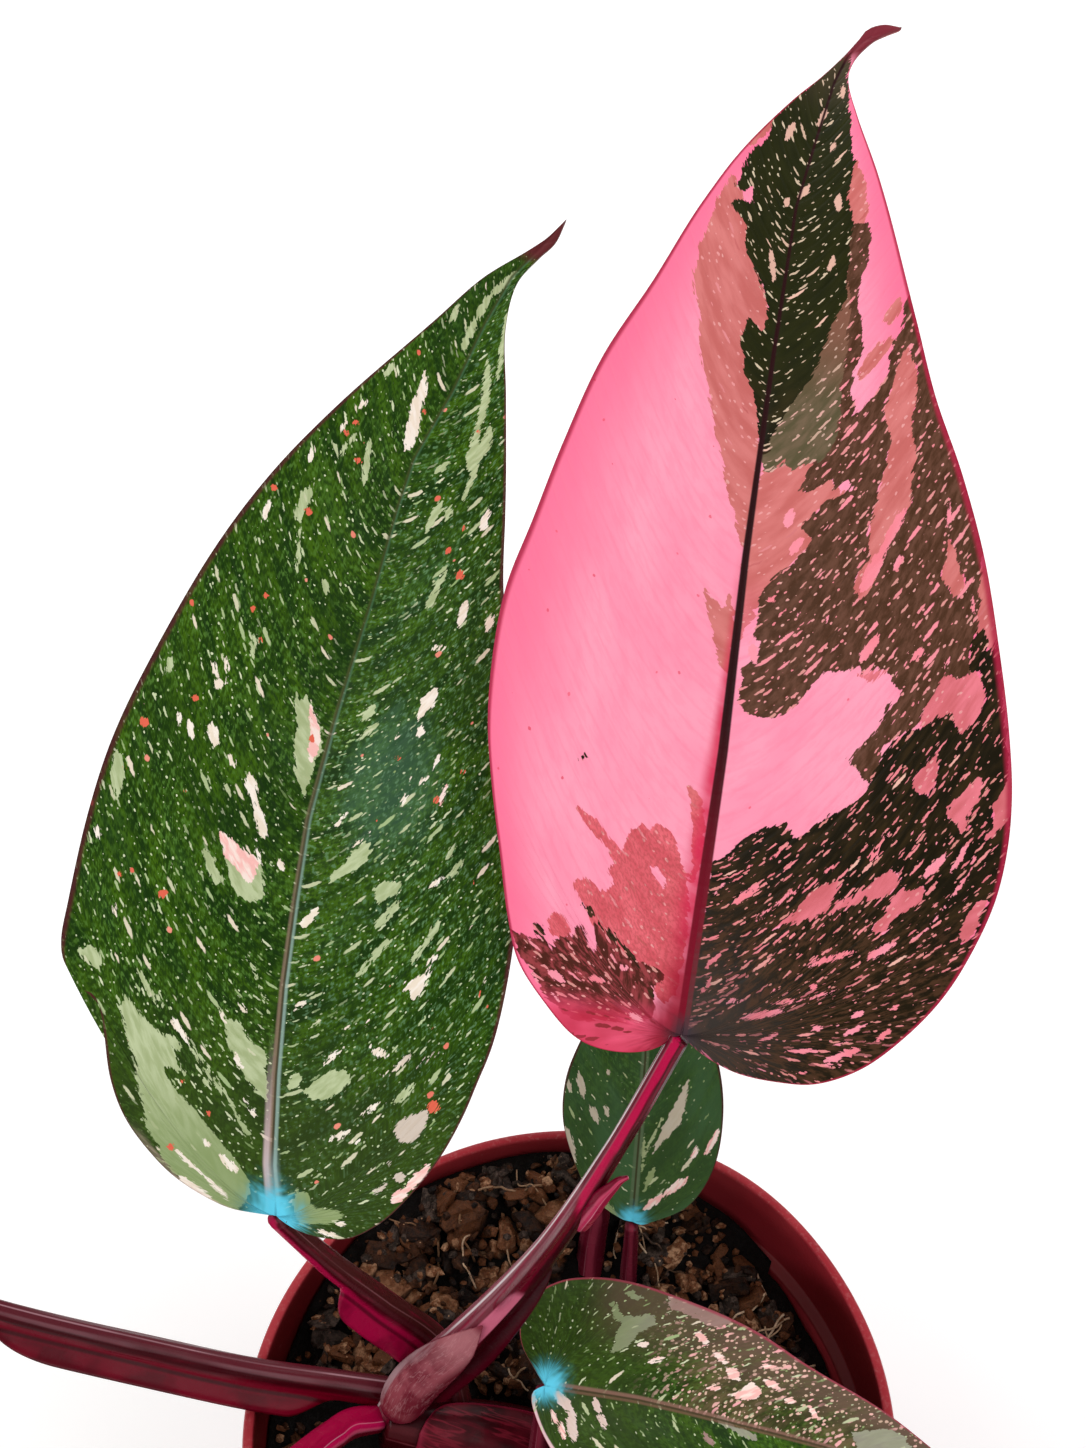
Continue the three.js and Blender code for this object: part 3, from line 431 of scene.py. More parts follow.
A_PINK_STROKES = [
    (8, -24.5, 6.5, -21.5, 2), (9, -28.5, 5, -25.5, 1), (4.5, -23.5, 2.5, -21.5, 1),
    (9.5, -21, 6.5, -16.5, 0.6), (8, -17.5, 7.5, -14.5, 1.8), (13, -15, 10.5, -12.5, 0.7),
    (11, -12.5, 9.8, -10.5, 1.7), (9, -7, 7, -5.5, 0.8), (2.5, -9.5, 1.5, -7, 1.8),
    (96, 23.5, 88, 20.8, 1.6), (88, 20.8, 81, 18.5, 2.4), (88, 24.5, 85.5, 23.5, 1.6),
    (98.5, 31, 94, 31.5, 0.6), (83, 37, 79, 38, 0.9), (80, 32, 77, 33, 0.8), (74, 22.7, 68.5, 19.7, 2.2),
    (78.5, 4, 77, 3, 1.4), (76.5, 6, 75, 5, 1.2), (76.5, 8.5, 75, 8.5, 1), (72, 6, 71, 5.5, 1.1),
    (67, 5, 66.5, 4.5, 1.2), (76, 13.5, 74.5, 13, 1.2), (59, 5, 57.5, 3.5, 1), (60, 9, 58, 7, 0.7),
    (72, 29.5, 66, 25.5, 0.9), (72.5, 30.5, 70.5, 28.5, 2), (72, 35, 69.5, 34, 1.3), (64, 31, 62.5, 30, 1),
    (58, 27, 55, 24.5, 0.8), (61, 28, 58, 26.5, 0.6), (70, 1, 66, 2.5, 2), (94, 4.5, 91, 4, 1.8),
    (89, 7, 86, 5.5, 2), (23, 33.5, 19, 28.8, 2), (41, 44.5, 36, 43.5, 1.2), (36, 43.5, 31, 41, 1.2),
    (31, 41, 25.5, 38, 1.2), (25.5, 38, 23, 35, 1.2), (42, 43, 35.5, 40.5, 1.6), (39, 39.5, 34, 36, 2),
    (41, 38.5, 40, 36.5, 1), (44.5, 36.5, 40.5, 32.5, 0.8), (41, 30, 39.5, 28, 1.6),
    (37.5, 28.5, 36, 26.5, 2.2), (40, 22.5, 38.5, 22, 1.1), (41, 22, 41, 23, 1), (34, 21.5, 32, 19.5, 1.8),
    (36, 25, 34, 22.5, 0.8), (37.5, 19.5, 36.5, 18.5, 1.2), (35.5, 12.5, 32, 9.5, 1.3),
    (33.5, 5, 31.5, 2.5, 1.3), (28.5, 3.8, 25, 1.5, 1.2), (29, 9.5, 24, 5, 1.8), (30, 17, 25, 12, 1.4),
    (25, 12, 21, 8.5, 1.2), (27, 25, 23, 20, 1), (20.5, 27.5, 16, 19, 1.6), (23.5, 24, 21, 21, 0.9),
    (19.5, 17, 18, 11.5, 0.8), (13.5, 26, 10.5, 20, 1.2), (10.5, 20, 8.5, 14, 1.2),
    (11.5, 15.5, 10.3, 11.5, 1.6), (8.5, 10, 6.5, 4.5, 1.5), (8, 17, 5, 9.5, 1.8),
    (6.5, 24, 5.5, 21.5, 1.4), (4, 16.5, 1.5, 13, 1.3), (2.5, 24, 1, 18, 1.5), (4, 30.5, 0.5, 24.5, 2),
    (0.5, 28, 0, 24, 1.2), (15.5, 4.5, 12, 2, 1.3), (11.5, 4, 7.5, 2, 1.2), (13.5, 22, 12.5, 20, 1.4),
    (10.5, 30, 9, 28, 1.8), (12.5, 36, 11.5, 34, 1.5), (8.5, 35, 5.5, 32.5, 1.6), (8.5, 31, 5.5, 27, 1.4),
    (5, 28.5, 3.5, 25.5, 1), (7.5, 27, 7, 25.5, 1), (18.5, 31.5, 20.5, 34.5, 0.8),
    (14, 30.5, 11.5, 27.5, 0.8), (14, 10, 13.7, 11.2, 1), (1, 15.5, 0.5, 12.5, 0.8), (1.5, 11.5, 1, 9, 0.7),
    (-0.5, 9, -0.5, 11, 0.7), (-3, 15.5, -3, 12.5, 0.8), (-1.5, 23, -2.5, 20, 0.9), (41, 47, 39, 47, 1),
    (38, 46, 35.5, 46.5, 1), (46, 33, 45.5, 32.5, 1.2), (32, 7.5, 30.5, 6, 1), (28, 5.5, 28, 6.5, 1),
]
A_CREAM_STROKES = [
    (143, -6.5, 137, -5, 0.9), (143, 5, 140, 4.5, 0.9), (158, -1.5, 155, -3, 1.3),
    (156, 4, 152.5, 4.5, 1.2), (154.5, -5, 153, -5, 1), (171, -6, 167, -7, 1.2), (176, -0.5, 172, -1.5, 1),
    (182, 2, 179, 2, 0.8), (168, 2, 166, 1.5, 0.8),
]
B_PALE = [
    [
        (35, -34.7), (33.5, -33), (32.8, -34.7), (31, -33.5), (26, -31), (22, -28.5), (21, -29.3),
        (17, -27), (12, -25), (9.5, -22.5), (7, -21.5), (5, -19), (2.5, -15), (0.5, -11), (0, -7), (3, -5),
        (6, -6), (9, -9), (11.5, -12), (14, -15), (17, -18.5), (20, -22), (22, -24.2), (24, -24),
        (22.5, -20.5), (25, -22.5), (28, -24.5), (30, -28), (33, -32),
    ],
    [
        (35.5, -17.5), (33.2, -15.3), (33.3, -13.5), (30.5, -11), (29, -7.8), (20, -5.8), (21, -7.5),
        (24, -10.5), (28, -13.7),
    ],
    [
        (61.5, -22), (60, -21.5), (57, -20), (55.3, -18.3), (54.8, -16.5), (55.5, -13.8), (59.6, -15.1),
        (61.5, -15.6), (62, -17),
    ],
    [(62.2, -26), (61, -24.5), (58, -22.5), (57.5, -21.3), (56, -22.5), (59, -24.8)],
    [(41.7, -41.8), (40, -43.2), (39, -42), (37.8, -39.5), (39.2, -38.5), (41, -39.8)],
    [
        (92.8, -16.3), (91.3, -15.3), (92.5, -14.4), (89.4, -12.2), (87, -10.5), (84, -9.8), (81.3, -10.3),
        (78.3, -10.6), (74, -10.7), (75, -11.7), (79.3, -13.4), (82.5, -14.5), (85.8, -14.6), (89, -15.6),
    ],
    [(131, -21.8), (128.5, -22), (128.6, -23.3), (125, -23.7), (123, -23.5), (123.2, -22), (127, -21.5)],
    [(75.3, -44.3), (74.6, -42.8), (72, -42), (69, -41.7), (67.3, -42.3), (69, -43.2), (71, -44.3)],
    [
        (22.8, 0), (26, 2.3), (28.3, 4.5), (29.2, 7), (28, 8.2), (26.3, 7.3), (24.5, 6), (23, 4.3),
        (22.7, 2.5),
    ],
    [(26.3, -2), (25.8, -0.5), (24.5, -1), (23, -2.2), (24, -3)],
    [(6, 3), (5.6, 5), (4, 5), (3.6, 7), (4.2, 10.5), (3.7, 12), (2, 10.5), (0.7, 7), (-0.3, 4.5), (3, 2)],
    [(63, 6.5), (63.4, 9.5), (61.3, 9.3), (60.5, 7.5), (58.8, 6.2), (59.8, 4.8), (61.5, 5)],
    [
        (69, 1.5), (68.5, 3.3), (66, 2.7), (63.8, 1), (63, -0.7), (60.5, -3), (62.5, -3), (64.5, -1.2),
        (66.8, -0.3),
    ],
    [
        (163, 3.6), (160, 4.9), (155, 5.7), (151, 5.9), (148.3, 5.5), (145, 5.8), (147, 6.5), (149.3, 7),
        (146.8, 8), (143.3, 7.4), (140.5, 6.6), (138, 6.6), (136.5, 6.2), (133.4, 5.2), (137, 5.2),
        (138.8, 5.5), (140, 4.6), (142.3, 4), (148.8, 4.5), (155.3, 4.2), (159, 3.9),
    ],
]
B_PALE_STROKES = [
    (39, -32.5, 33.5, -27, 0.8), (28, -21, 20, -13, 0.8), (20, -13, 12, -6.5, 0.7),
    (28.8, -25.5, 27, -22.5, 1.5), (22.5, -17.5, 21, -16.5, 1), (45.5, -14.5, 35.5, -8.5, 0.4),
    (113.5, -15.7, 111, -15, 1.2), (123, -22.5, 113.5, -20.8, 0.5), (100.5, -25.6, 96.5, -25, 0.9),
    (93.3, -38.8, 90.5, -38.8, 1.3), (34.8, 14, 34.8, 15.6, 1.1), (29.7, 19.2, 25.5, 16.7, 1),
    (59.8, 9.8, 54.8, 6.6, 1.3), (53.2, 9.5, 49, 7.1, 1.1), (49, 7.1, 45.3, 5.1, 0.6),
    (58.3, 17.6, 53, 15.7, 1), (53, 15.7, 49.8, 14, 1), (37, 0.8, 35, -1.5, 0.9),
    (119.6, 5.2, 112, 3.2, 1.2), (93.3, -2, 90.3, -3.6, 1.5), (90, -0.9, 86.6, -3.4, 1),
    (71.7, 17.3, 68.5, 16, 1), (69.5, 19.3, 65, 17, 0.7), (173, 5.5, 158.5, 6.5, 0.9),
    (183.5, 5.3, 176.5, 1.5, 1.2), (176.5, 1.5, 171.7, 0, 1.2), (171.7, 0, 164, -1.2, 1.2),
    (172.7, -3.8, 168.6, -4.8, 1.1), (157, -13, 154, -14, 1), (141, -13.8, 132.5, -13, 1.1),
    (141.5, -16.5, 136, -18.6, 0.6), (132.3, 1.4, 126.4, 0.1, 1.3), (132, 3.3, 129, 3, 0.8),
    (140, 0.8, 138, -0.8, 1),
]
B_CREAM = [
    [(25.8, 22.5), (24.2, 23), (21.5, 22.3), (19.3, 21), (19, 18.8), (21.2, 17.3), (22.5, 18), (24.2, 20)],
    [
        (49.8, 18), (48.5, 16.5), (47.6, 14.8), (44.8, 13.2), (45.5, 14.8), (43.7, 15.8), (44.5, 16.8),
        (46.4, 17),
    ],
    [
        (157.3, -7), (154, -5.8), (150, -6), (146, -5.8), (142, -6), (141, -7.4), (145.5, -8), (150.5, -8),
        (154, -7.4),
    ],
    [(98.6, 8.3), (95.5, 8.6), (92, 6.2), (94, 5.7), (96.5, 6.3)],
]
B_CREAM_STROKES = [
    (12, -15.5, 10.5, -13.5, 0.7), (9.5, -12, 7, -8.5, 1.1), (9, -19.5, 5.5, -14, 0.7),
    (5.5, -14, 2, -9, 0.7), (4.5, -18, 1.5, -12, 1.2), (35, -17.3, 31.5, -15, 0.5),
    (28, -13.5, 25, -11, 0.7), (14.5, -31, 11, -28, 1.3), (32, -25, 28, -21, 1), (20, -10, 17, -7, 0.7),
    (37.5, -14.7, 35, -12.5, 0.7), (49.7, -39, 47, -38, 0.7), (62, -44.7, 60, -44, 0.8),
    (63, -13, 61, -11.5, 1.1), (65.5, -17.5, 61, -15.5, 0.7), (76.5, -21.3, 72, -19, 1.7),
    (72, -19, 66, -16, 1.5), (79, -25.2, 76.9, -23.8, 1.2), (83.5, -29.3, 79.9, -27.7, 1.5),
    (83.3, -33.3, 80.5, -32, 1), (84.3, -35.3, 82, -34.3, 0.8), (91.5, -29.8, 90, -29.3, 1.8),
    (94.3, -31.5, 92.3, -30.3, 0.7), (96, -29.8, 91, -28, 0.5), (33.1, 5.8, 29.2, 2.8, 0.8),
    (33.3, 11, 33.5, 13.5, 1.5), (34.5, 10, 34, 10.8, 0.9), (34.8, 17.8, 31.2, 15.3, 1.1),
    (31, 15, 29.3, 13, 0.7), (36.2, 22.1, 32, 18.6, 0.6), (25.5, 14.7, 21.8, 11.2, 0.9),
    (18.9, 9.8, 15.7, 6.5, 1), (17.8, 12.2, 16.5, 10.3, 0.6), (13.6, 20, 12.4, 20.4, 2.2),
    (11.3, 18.3, 9, 16.2, 0.7), (15, 17.5, 15, 18, 0.9), (-0.5, 8, -0.3, 11.5, 0.7),
    (1.8, 11, 2.3, 12.6, 0.6), (52.5, 18.5, 51, 17, 0.8), (55.6, -4.2, 51.9, -6.3, 1.5),
    (50.5, 27.6, 48.5, 27.1, 0.5), (40, -2.5, 37, -4.7, 0.7), (37, 6.5, 36, 4.5, 0.7), (91, 7, 89, 7, 1.4),
    (89, 3.5, 88, 2.8, 0.7), (114.5, 9.9, 110, 9.7, 1.6), (112.8, 15, 109.8, 14.8, 1.3),
    (105.7, 8.2, 105, 5.9, 0.9), (73.2, -2.7, 70.5, -4.4, 0.7), (71.3, 2.4, 67.5, -0.6, 0.6),
    (66, 16.5, 63.5, 14.5, 0.7), (78.5, 7, 76.5, 6.5, 0.9), (82, 7.3, 81, 7, 0.9), (83, 10.3, 81, 9, 0.7),
    (86.8, 11.2, 84.6, 10.7, 0.7), (125, -28.5, 120.8, -28.9, 0.7), (148.5, -16, 146.5, -17, 0.8),
    (143.5, -18.5, 141, -19.5, 0.7), (136.5, -23.3, 133.5, -23.2, 0.8), (132.5, 10.3, 128, 9.8, 1.3),
]
B_PINK = [
    [
        (66.3, -24.2), (63.4, -19.5), (62, -16.3), (60, -16), (57.7, -16.5), (57.8, -17.5), (60, -20),
        (61.7, -22.3),
    ],
    [(91.5, -13.6), (88, -11.2), (85.5, -10.2), (82, -10.5), (80.5, -11), (83, -12), (87, -12.5)],
]
B_PINK_STROKES = [
    (16.2, 24.8, 11, 21.8, 1.8), (11, 21.8, 8.5, 19.8, 1.8), (82, 13.6, 77.5, 13, 0.8),
    (39, 9, 37.5, 8.5, 0.8), (84.5, -41.5, 84.5, -41.1, 1),
]
# Round spots are (x, y, radius)
B_SPOTS = [
    (54.8, -39, 0.6), (52.8, -31, 0.9), (16.5, -15.4, 0.6), (21.5, -21, 0.4), (9.5, -20.5, 0.7),
    (85, -11.8, 0.8), (124.7, -21.4, 0.8), (127.2, -28.4, 0.7), (105, -26.9, 0.7), (108, -25.3, 0.5),
    (100, -24.2, 0.5), (81.3, -40.7, 1), (87.4, -33, 0.7), (71.3, -31.2, 0.4), (73, -42.2, 0.5),
    (47.3, 27.3, 0.7), (39.5, 20.4, 0.5), (42, 2.8, 0.4), (26.4, 23.3, 1.3), (119.2, 7.8, 1),
    (123.4, 4.8, 0.8), (128.1, 6.5, 0.5), (84.6, 15.9, 0.5), (78.9, 12.4, 0.8), (84.7, 4, 0.5),
    (73, 2.7, 0.4), (66, 21.5, 0.5), (149.5, -5.5, 0.5), (147.5, 5.2, 0.4), (143.5, -17, 0.6),
    (141, -18.2, 0.6), (136.5, -15, 0.7),
]
D_PALE = [
    [
        (9.3, -18.3), (11, -18), (12, -16), (14, -16.5), (18.5, -17.5), (19, -15.5), (16, -13), (14, -9.5),
        (11.5, -8.3), (12, -12), (12.3, -14.5), (10.5, -15.5),
    ],
    [(60, -4), (66, -6.5), (70, -6), (74, -2), (66, 0), (62, -1)],
]
D_PALE_STROKES = [(34.5, -0.5, 38, 1, 1.8), (38, 1, 42.5, 2, 1.5), (12, -21, 15.5, -20.5, 1.2)]
D_CREAM = [
    [
        (20, -22.5), (25, -22.8), (30, -21.5), (34, -19.5), (31, -17.5), (27, -18.5), (24.5, -19.3),
        (21, -20),
    ],
]
D_CREAM_STROKES = [
    (2, 1, 6.5, 4.5, 2.2), (6.5, 4.5, 9, 11, 2), (-2, 2.5, -1.5, 8, 2.5), (-1.5, 8, 2, 14, 2.5),
    (10.5, 1, 12, 4, 1.3), (12, 4, 14.5, 7.5, 1.3), (32.5, 3.5, 35, 5.5, 1.3),
]
D_PINK = [[(35.6, -4.9), (38, -6.3), (39.3, -8.8), (42, -7.2), (41, -5.5), (38, -4.6)]]
D_PINK_STROKES = [
    (27, -16, 30, -14, 1.4), (31.5, -12.5, 34, -11, 1.2), (34.5, -10, 37, -8.5, 2),
    (42, -9.5, 45, -8.5, 1.4), (41, -12, 44, -12.5, 0.8), (31.5, -5.5, 34, -6, 1), (19, -8, 22, -9.5, 1),
    (18.5, -11.5, 16.5, -11, 1.2), (46.5, -6.5, 48.5, -7, 1), (51, -7, 53, -5, 1), (3, 5.5, 4.5, 8, 0.9),
    (5.5, 8, 7, 11, 1.2),
]
F_PALE = [[(2.5, -8), (5, -7), (3.5, -4.5), (2, -3.5), (-0.2, -1), (0.5, -5)]]
F_PALE_STROKES = [(12, 4, 7, 2, 0.8), (11, 1.5, 19, 1.5, 0.5), (14, 1.5, 22.5, 5, 0.5)]
F_CREAM = [
    [
        (31.5, 10.3), (27, 10), (22, 9), (19, 6.5), (15, 3.5), (17.5, 4), (21.5, 5.5), (26.5, 8), (29.5, 9),
    ],
]
F_CREAM_STROKES = [
    (31, -13, 26, -11.5, 1.4), (24.5, -10, 21, -8.3, 1.3), (32, -7, 31, -6.7, 1),
    (24.5, -7, 22.5, -6.3, 0.8), (19.5, -15, 12.5, -12.8, 1.6), (29, -15, 27, -14.5, 1),
]
F_PINK_STROKES = [
    (10.8, 11, 7, 6.5, 1.6), (7, 6.5, 3, 2.5, 1.4), (21.5, 17, 16, 14.5, 1.3), (17.5, 12.7, 15, 11.8, 1),
]
# Each class of a blade's colour: its areas, its strokes, and the windows left open in it
NO_MARKS = ([], [], [])
MARKS_A = {
    "dark": (A_DARK, A_DARK_STROKES, A_DARK_WINDOWS),
    "brown": (A_BROWN, [], A_BROWN_WINDOWS),
    "grey": (A_GREY, [], []),
    "rose": (A_ROSE, A_ROSE_STROKES, A_ROSE_WINDOWS),
    "pink": ([], A_PINK_STROKES, []),
    "cream": ([], A_CREAM_STROKES, []),
}
MARKS_B = {
    "pale": (B_PALE, B_PALE_STROKES, []),
    "cream": (B_CREAM, B_CREAM_STROKES, []),
    "pink": (B_PINK, B_PINK_STROKES, []),
    "spot": ([], [(x - r / 2, y, x + r / 2, y, 2 * r) for x, y, r in B_SPOTS], []),
}
MARKS_C = dict.fromkeys(("pale", "cream", "pink", "spot"), NO_MARKS)
MARKS_D = {
    "pale": (D_PALE, D_PALE_STROKES, []),
    "cream": (D_CREAM, D_CREAM_STROKES, []),
    "pink": (D_PINK, D_PINK_STROKES, []),
    "spot": NO_MARKS,
}
MARKS_F = {
    "pale": (F_PALE, F_PALE_STROKES, []),
    "cream": (F_CREAM, F_CREAM_STROKES, []),
    "pink": ([], F_PINK_STROKES, []),
    "spot": NO_MARKS,
}


def catmull_rom(points, count):
    """Evenly spaced points on a centripetal Catmull-Rom curve through the given points."""
    p = np.array(points, float)
    p = np.vstack([2 * p[0] - p[1], p, 2 * p[-1] - p[-2]])
    t = np.linspace(0, 1, CURVE_STEPS, endpoint=False)[:, None]
    pieces = []
    for p0, p1, p2, p3 in zip(p, p[1:], p[2:], p[3:]):
        d0, d1, d2 = [max(np.linalg.norm(b - a), 1e-6) ** 0.5 for a, b in ((p0, p1), (p1, p2), (p2, p3))]
        m1 = ((p1 - p0) / d0 - (p2 - p0) / (d0 + d1) + (p2 - p1) / d1) * d1
        m2 = ((p2 - p1) / d1 - (p3 - p1) / (d1 + d2) + (p3 - p2) / d2) * d1
        pieces.append(p1 + m1 * t + (3 * (p2 - p1) - 2 * m1 - m2) * t**2 + (2 * (p1 - p2) + m1 + m2) * t**3)
    fine = np.vstack([*pieces, p[-2:-1]])
    run = path_lengths(fine)
    even = np.linspace(0, run[-1], count)
    return np.stack([np.interp(even, run, column) for column in fine.T], axis=1)


def path_lengths(points):
    """How far along a path each of its points lies."""
    return np.concatenate([[0], np.cumsum(np.linalg.norm(np.diff(points, axis=0), axis=1))])


def unit(vectors):
    return vectors / np.linalg.norm(vectors, axis=-1, keepdims=True)


def smooth_step(value, low, high):
    share = np.clip((value - low) / (high - low), 0, 1)
    return share * share * (3 - 2 * share)


def bell(distance, width, power=2):
    """1 at no distance, and close to 0 beyond twice the width."""
    return np.exp(-((distance / width) ** power))


def mesh_object(name, points, faces, values=None, smooth=True):
    """A mesh from points in millimetres, with its named per-vertex values."""
    mesh = bpy.data.meshes.new(name)
    mesh.from_pydata((np.asarray(points, float) * MM).tolist(), [], faces)
    for key, numbers in (values or {}).items():
        layer = mesh.attributes.new(key, "FLOAT", "POINT")
        layer.data.foreach_set("value", np.asarray(numbers, np.float32))
    mesh.update()
    if smooth:
        mesh.polygons.foreach_set("use_smooth", [True] * len(mesh.polygons))
    made = bpy.data.objects.new(name, mesh)
    bpy.context.scene.collection.objects.link(made)
    return made


def rim_faces(loop, count):
    """The quads from a border to the same border on the other face, whose points come count later."""
    return [[b, a, a + count, b + count] for a, b in zip(loop, loop[1:] + loop[:1])]


def rib_at(leaf, x):
    """How far the midrib lies to the right of the leaf's straight axis."""
    mid = np.array(leaf["mid"], float)
    return np.interp(x, mid[:, 0], mid[:, 1])


def blade_point(leaf, x, y, edge, lift):
    """The place in space of points on the flat leaf, whose midrib arches, halves fold up and margins wave."""
    heading, pitch, roll, arch = [np.radians(leaf[key]) for key in ("heading", "pitch", "roll", "arch")]
    level = np.array([np.sin(heading), np.cos(heading), 0])
    across = np.array([np.cos(heading), -np.sin(heading), 0])
    up = np.array([0, 0, 1])
    along = np.cos(pitch) * level + np.sin(pitch) * up
    rise_way = -np.sin(pitch) * level + np.cos(pitch) * up
    side = np.cos(roll) * across + np.sin(roll) * rise_way
    normal = -np.sin(roll) * across + np.cos(roll) * rise_way
    steps = np.arange(0, 1.1 * leaf["length"], ARCH_STEP)
    bend = -arch * (steps / leaf["length"]) ** ARCH_POWER
    middle = (bend[1:] + bend[:-1]) / 2
    reach = np.concatenate([[0], np.cumsum(np.cos(middle)) * ARCH_STEP])
    rise = np.concatenate([[0], np.cumsum(np.sin(middle)) * ARCH_STEP])
    here = -arch * np.maximum(0, x / leaf["length"]) ** ARCH_POWER
    away = y - rib_at(leaf, x)
    high = FOLD * (np.sqrt(away**2 + FOLD_ROUND**2) - FOLD_ROUND) - CUP * away**2 / leaf["width"]
    high = high + leaf["wave"] * edge**2 * np.sin(WAVES * np.pi * x / leaf["length"] + np.sign(away)) + lift
    forward = np.where(x < 0, x, np.interp(x, steps, reach)) - high * np.sin(here)
    upward = np.where(x < 0, 0, np.interp(x, steps, rise)) + high * np.cos(here)
    place = forward[..., None] * along + upward[..., None] * normal + y[..., None] * side
    return np.array(leaf["base"], float) + place


def half_columns(leaf, outline, fan, ribs):
    """Where each vein line of one half leaves the midrib, and where it meets the margin."""
    edge = catmull_rom(outline, MARGIN_POINTS)
    behind = edge[:, 0] - VEIN_LEAN * np.abs(edge[:, 1] - rib_at(leaf, edge[:, 0]))
    ahead = np.maximum(0, np.maximum.accumulate(behind))
    first = np.searchsorted(ahead, FIRST_VEIN * leaf["length"])
    even = np.linspace(0, 1, len(edge) - first)
    reached = (1 - EVEN_SHARE) * (ahead[first:] - ahead[first]) / (ahead[-1] - ahead[first])
    rank = reached + EVEN_SHARE * even
    share = 1 - (1 - np.arange(ribs + 1) / ribs) ** RIB_POWER
    start = edge[-1, 0] * (FIRST_VEIN + (1 - FIRST_VEIN) * share)
    start = np.concatenate([np.zeros(fan), start])
    order = np.arange(len(edge))
    beyond = first + np.interp(share, rank, order[: len(even)])
    picked = np.concatenate([first * np.arange(fan) / fan, beyond])
    margin = np.stack([np.interp(picked, order, edge[:, k]) for k in (0, 1)], axis=1)
    run = path_lengths(edge)
    fan_run = np.interp(picked[:fan], order, run) - run[first]
    family = np.concatenate([fan_run * FAN_SPACING, start[fan:] - start[fan]])
    return start, margin, family


def leaf_half(leaf, outline, fan, ribs, rows):
    """One half's flat grid: its place, vein coordinates, share of the way out, and the veins' way."""
    share = (np.arange(rows + 1) / rows) ** ROW_POWER
    start, margin, family = half_columns(leaf, outline, fan, ribs)
    rib = rib_at(leaf, start)[:, None]
    start = start[:, None]
    out_x = margin[:, :1] - start
    out_y = margin[:, 1:] - rib
    x = start + out_x * share**VEIN_CURVE
    y = rib + out_y * share
    way_x = out_x * VEIN_CURVE * (share + 0.01) ** (VEIN_CURVE - 1)
    way_y = out_y + 0 * x
    long = np.hypot(way_x, way_y) + 1e-6
    return {
        "x": x, "y": y, "u": family[:, None] + 0 * x, "v": np.hypot(x - start, y - rib),
        "edge": 0 * x + share, "way_x": way_x / long, "way_y": way_y / long,
    }


def flat_leaf(leaf, fan, ribs, rows):
    """Both halves of the flat leaf, joined along the midrib: points' values, faces and border."""
    columns = fan + ribs + 1
    index = {}
    flat = {}
    faces = []
    borders = []

    def point(sign, grid, i, j):
        key = (sign, i, j)
        if j == 0 and i < fan:
            key = "base"
        elif i == columns - 1:
            key = "tip"
        elif j == 0:
            key = i
        if key not in index:
            index[key] = len(index)
            for title, values in grid.items():
                flat.setdefault(title, []).append(values[i, j])
            flat.setdefault("half", []).append(sign)
        return index[key]

    for sign, outline in ((-1, leaf["left"]), (1, leaf["right"])):
        grid = leaf_half(leaf, outline, fan, ribs, rows)
        for i in range(columns - 1):
            for j in range(rows):
                corners = [point(sign, grid, i + a, j + b) for a, b in ((0, 0), (0, 1), (1, 1), (1, 0))]
                corners = [c for k, c in enumerate(corners) if c != corners[k - 1]]
                if len(corners) > 2:
                    faces.append(corners if sign > 0 else corners[::-1])
        borders.append([point(sign, grid, i, rows) for i in range(columns)])
    flat = {key: np.array(numbers, float) for key, numbers in flat.items()}
    return flat, faces, borders[0] + borders[1][::-1][1:-1]


def segment_distance(x, y, start, end):
    """How far each point lies from a straight stroke, and how far along it the nearest place is."""
    (ax, ay), (bx, by) = start, end
    squared = (bx - ax) ** 2 + (by - ay) ** 2
    share = np.clip(((x - ax) * (bx - ax) + (y - ay) * (by - ay)) / max(squared, 1e-9), 0, 1)
    return np.hypot(x - ax - share * (bx - ax), y - ay - share * (by - ay)), share


def inside_depth(x, y, ring):
    """How deep each point lies inside a closed outline, negative outside it."""
    best = np.full(x.shape, 1e3)
    inside = np.zeros(x.shape, bool)
    for start, end in zip(ring, ring[1:] + ring[:1]):
        best = np.minimum(best, segment_distance(x, y, start, end)[0])
        if start[1] != end[1]:
            crossing = start[0] + (y - start[1]) * (end[0] - start[0]) / (end[1] - start[1])
            inside ^= ((start[1] > y) != (end[1] > y)) & (x < crossing)
    return np.where(inside, best, -best)


def mark_depth(x, y, areas, strokes, windows):
    """How deep each point lies inside the nearest area or stroke of one class, outside its windows."""
    depth = np.full(x.shape, FAR_OUTSIDE)
    for ring in areas:
        depth = np.maximum(depth, inside_depth(x, y, ring))
    for ax, ay, bx, by, width in strokes:
        away, share = segment_distance(x, y, (ax, ay), (bx, by))
        depth = np.maximum(depth, width / 2 * (1 - STROKE_TAPER * np.abs(2 * share - 1) ** 3) - away)
    for ring in windows:
        depth = np.minimum(depth, -inside_depth(x, y, ring))
    return depth


